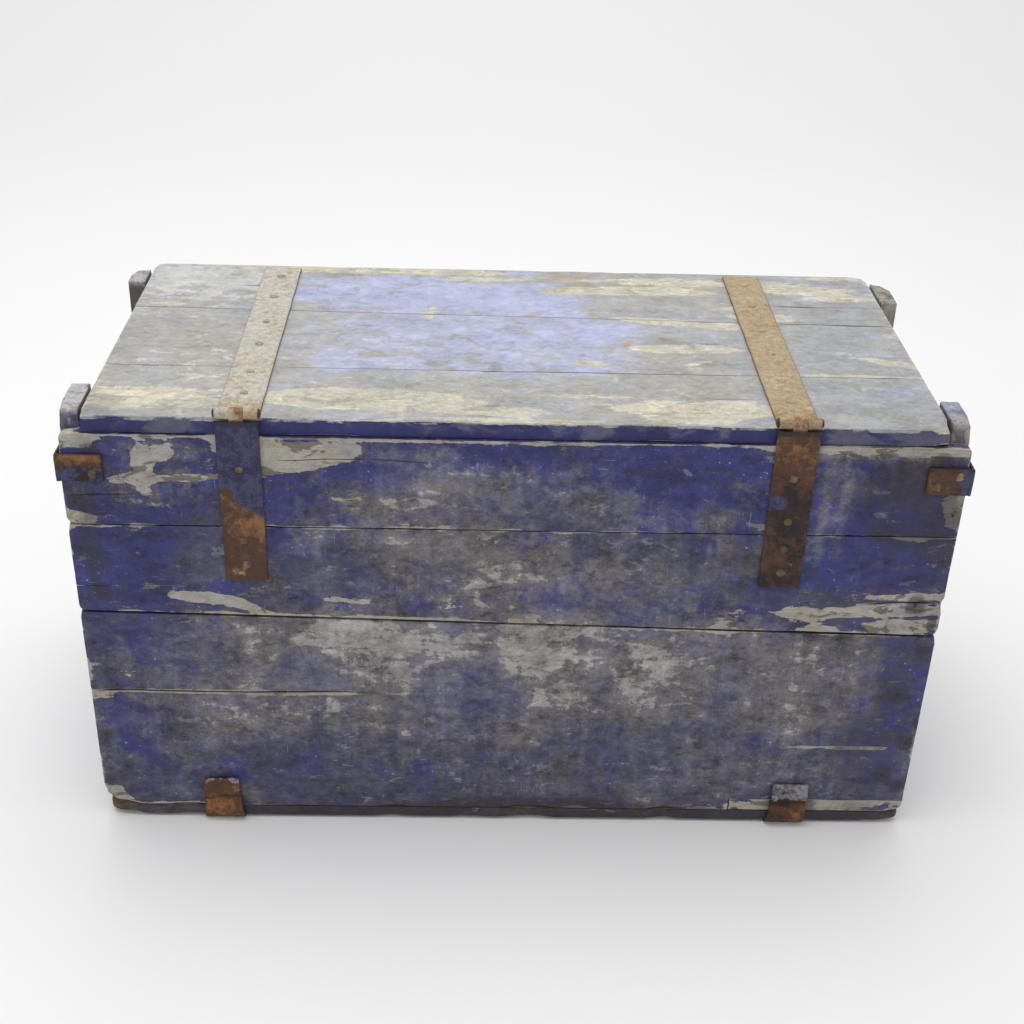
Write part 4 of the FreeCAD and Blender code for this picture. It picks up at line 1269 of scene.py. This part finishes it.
def pin(node, centre, radius):
    """A pin with hammered ends, along X."""
    low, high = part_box(node)
    half = (high.x - low.x) / 2 / MM
    head = (high.z - low.z) / 2 / MM
    end = ((half, head * 0.45), (half - 0.4, head * 0.85), (half - 1.0, head),
           (half - 1.5, head), (half - 1.6, radius / MM))
    profile = [(-d, r) for d, r in end] + list(end[::-1])
    shape = turned([(d * MM, r * MM) for d, r in profile],
                   ((low.x + high.x) / 2, centre.y, centre.z), (1, 0, 0), seed_of(node),
                   lumpy=0.01)
    joined(node, [shape], DARK_IRON)


pin("hinge_pin_left", axis, 2.2 * MM)
pin("hinge_pin_right", axis, 2.2 * MM)
pin("hasp_pin", hasp_axis, 2.0 * MM)

low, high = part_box("lid_staple")
wire = (high.z - low.z) / 2
legs, level, tip = (high.x - low.x) / 2 - wire, (high.z + low.z) / 2, high.y - wire
corners = [(-legs, low.y), (-legs, tip), (legs, tip), (legs, low.y)]
path = bent_path([(x, y, level) for x, y in corners], (4.5 * MM,) * 2)
joined("lid_staple", [bar(path, wire, Vector((0, 0, 1)), 71)], DARK_IRON)

HANDLE_R = 4.0 * MM
EYE_OUTER, EYE_BORE, EYE_HALF, EYE_Y = 8.0, 4.15, 3.96, 66.5  # mm
SHANK_HALF = 3.2 * MM


def upset(share):
    """The bail's two ends are hammered thicker, so that they stay in the eyes."""
    return np.where(np.minimum(share, 1 - share) < 0.006, 1.38, 1.0)


def eye_ring(pivot, ring_y, sides=26):
    """Points and faces of a forged ring round the bail."""
    middle, half = (EYE_OUTER + EYE_BORE) / 2, (EYE_OUTER - EYE_BORE) / 2
    section = [(EYE_HALF * math.sin(a) * MM, (middle + half * math.cos(a)) * MM)
               for a in np.linspace(0, 2 * math.pi, 13)[:-1]]
    grid = []
    for k in range(sides):
        angle = 2 * math.pi * k / sides
        grid += [(pivot.x + r * math.cos(angle), ring_y + d, pivot.z + r * math.sin(angle))
                 for d, r in section]
    return grid, ring_faces(sides, len(section), loop=True)


for end, way in ENDS:
    low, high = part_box("handle_" + end)
    pivot = joint_at[end + "_handle_swing"]
    drop = pivot.z - low.z - HANDLE_R
    half, stub = 56 * MM, 76 * MM
    corners = [(pivot.x, y, pivot.z + dz) for y, dz in
               ((-stub, 0), (-half, 0), (-half, -drop), (half, -drop), (half, 0), (stub, 0))]
    path = bent_path(corners, (6 * MM, 18 * MM, 18 * MM, 6 * MM))
    shape = bar(path, HANDLE_R, Vector((1, 0, 0)), 81 + way, hammer=0.045, swell=upset)
    joined("handle_" + end, [shape], DARK_IRON)

    low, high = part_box("handle_eyes_" + end)
    inner = low.x if way > 0 else high.x
    near = pivot.x - way * 5.5 * MM
    shapes = []
    for ring_y in (-EYE_Y * MM, EYE_Y * MM):
        square = [lines(at - SHANK_HALF, at + SHANK_HALF, 1.6 * MM) for at in (ring_y, pivot.z)]
        foot = (inner + way * 2.0 * MM, ring_y, pivot.z)
        clench = [(d * MM, r * MM) for d, r in ((0.1, 8.0), (0.9, 7.6), (1.6, 6.0), (2.0, 3.4))]
        shapes += [eye_ring(pivot, ring_y),
                   shell(lines(min(inner, near), max(inner, near), 3 * MM), *square),
                   turned(clench, foot, (-way, 0, 0), 91 + way)]
    joined("handle_eyes_" + end, shapes, DARK_IRON)

# ---- floor, light and camera ----


def studio():
    """A pale floor that runs up into a pale backdrop."""
    reach, back, top, bend = 6.0, 3.2, 5.0, 1.2
    profile = [(-reach, 0.0), (back - bend, 0.0)]
    profile += [(back - bend + bend * math.sin(a), bend - bend * math.cos(a))
                for a in np.linspace(0.1, math.pi / 2, 14)]
    profile.append((back, top))
    points = [(x, y, z) for x in (-reach, reach) for y, z in profile]
    count = len(profile)
    faces = [(i, i + count, i + count + 1, i + 1) for i in range(count - 1)]
    floor = mesh_object("studio_floor", points, faces, {})
    m = Nodes("studio_paper")
    tone = m.mix(m.cloud(m.place, 3.0, detail=2), (0.93, 0.93, 0.935), (0.95, 0.95, 0.95))
    floor.data.materials.append(m.finish(tone, 0.75, m.bump(m.cloud(m.place, 300.0), 0.05 * MM)))


def soft_light(name, place, aim, size, power):
    """A rectangular lamp that looks from its place at its aim, with its power in watts."""
    lamp = bpy.data.lights.new(name, "AREA")
    lamp.shape = "RECTANGLE"
    lamp.size, lamp.size_y = size
    lamp.energy = power
    ob = bpy.data.objects.new(name, lamp)
    ob.location = place
    ob.rotation_euler = (Vector(aim) - Vector(place)).to_track_quat("-Z", "Y").to_euler()
    bpy.context.scene.collection.objects.link(ob)


def sky(strength):
    world = bpy.data.worlds.new("studio_sky")
    world.use_nodes = True
    back = world.node_tree.nodes["Background"]
    back.inputs["Color"].default_value = (1.0, 1.0, 1.0, 1.0)
    back.inputs["Strength"].default_value = strength
    bpy.context.scene.world = world


def camera():
    """Above and in front of the hinge side, looking down at 30 degrees."""
    lens = bpy.data.cameras.new("view")
    lens.sensor_width = 36.0
    lens.lens = 52.48
    ob = bpy.data.objects.new("view", lens)
    pitch, yaw, roll = (math.radians(v) for v in (30.2335, 1.8499, -1.8478))
    turn = (Matrix.Rotation(-yaw, 4, "Z") @ Matrix.Rotation(math.pi / 2 - pitch, 4, "X")
            @ Matrix.Rotation(-roll, 4, "Z"))
    ob.matrix_world = Matrix.Translation((-0.03911, -1.26554, 0.97866)) @ turn
    bpy.context.scene.collection.objects.link(ob)
    bpy.context.scene.camera = ob


studio()
sky(0.62)
soft_light("overhead", (-0.3, 0.2, 3.0), (0, 0, 0.2), (3.0, 2.4), 52.0)
camera()
bpy.context.scene.view_settings.view_transform = "Standard"
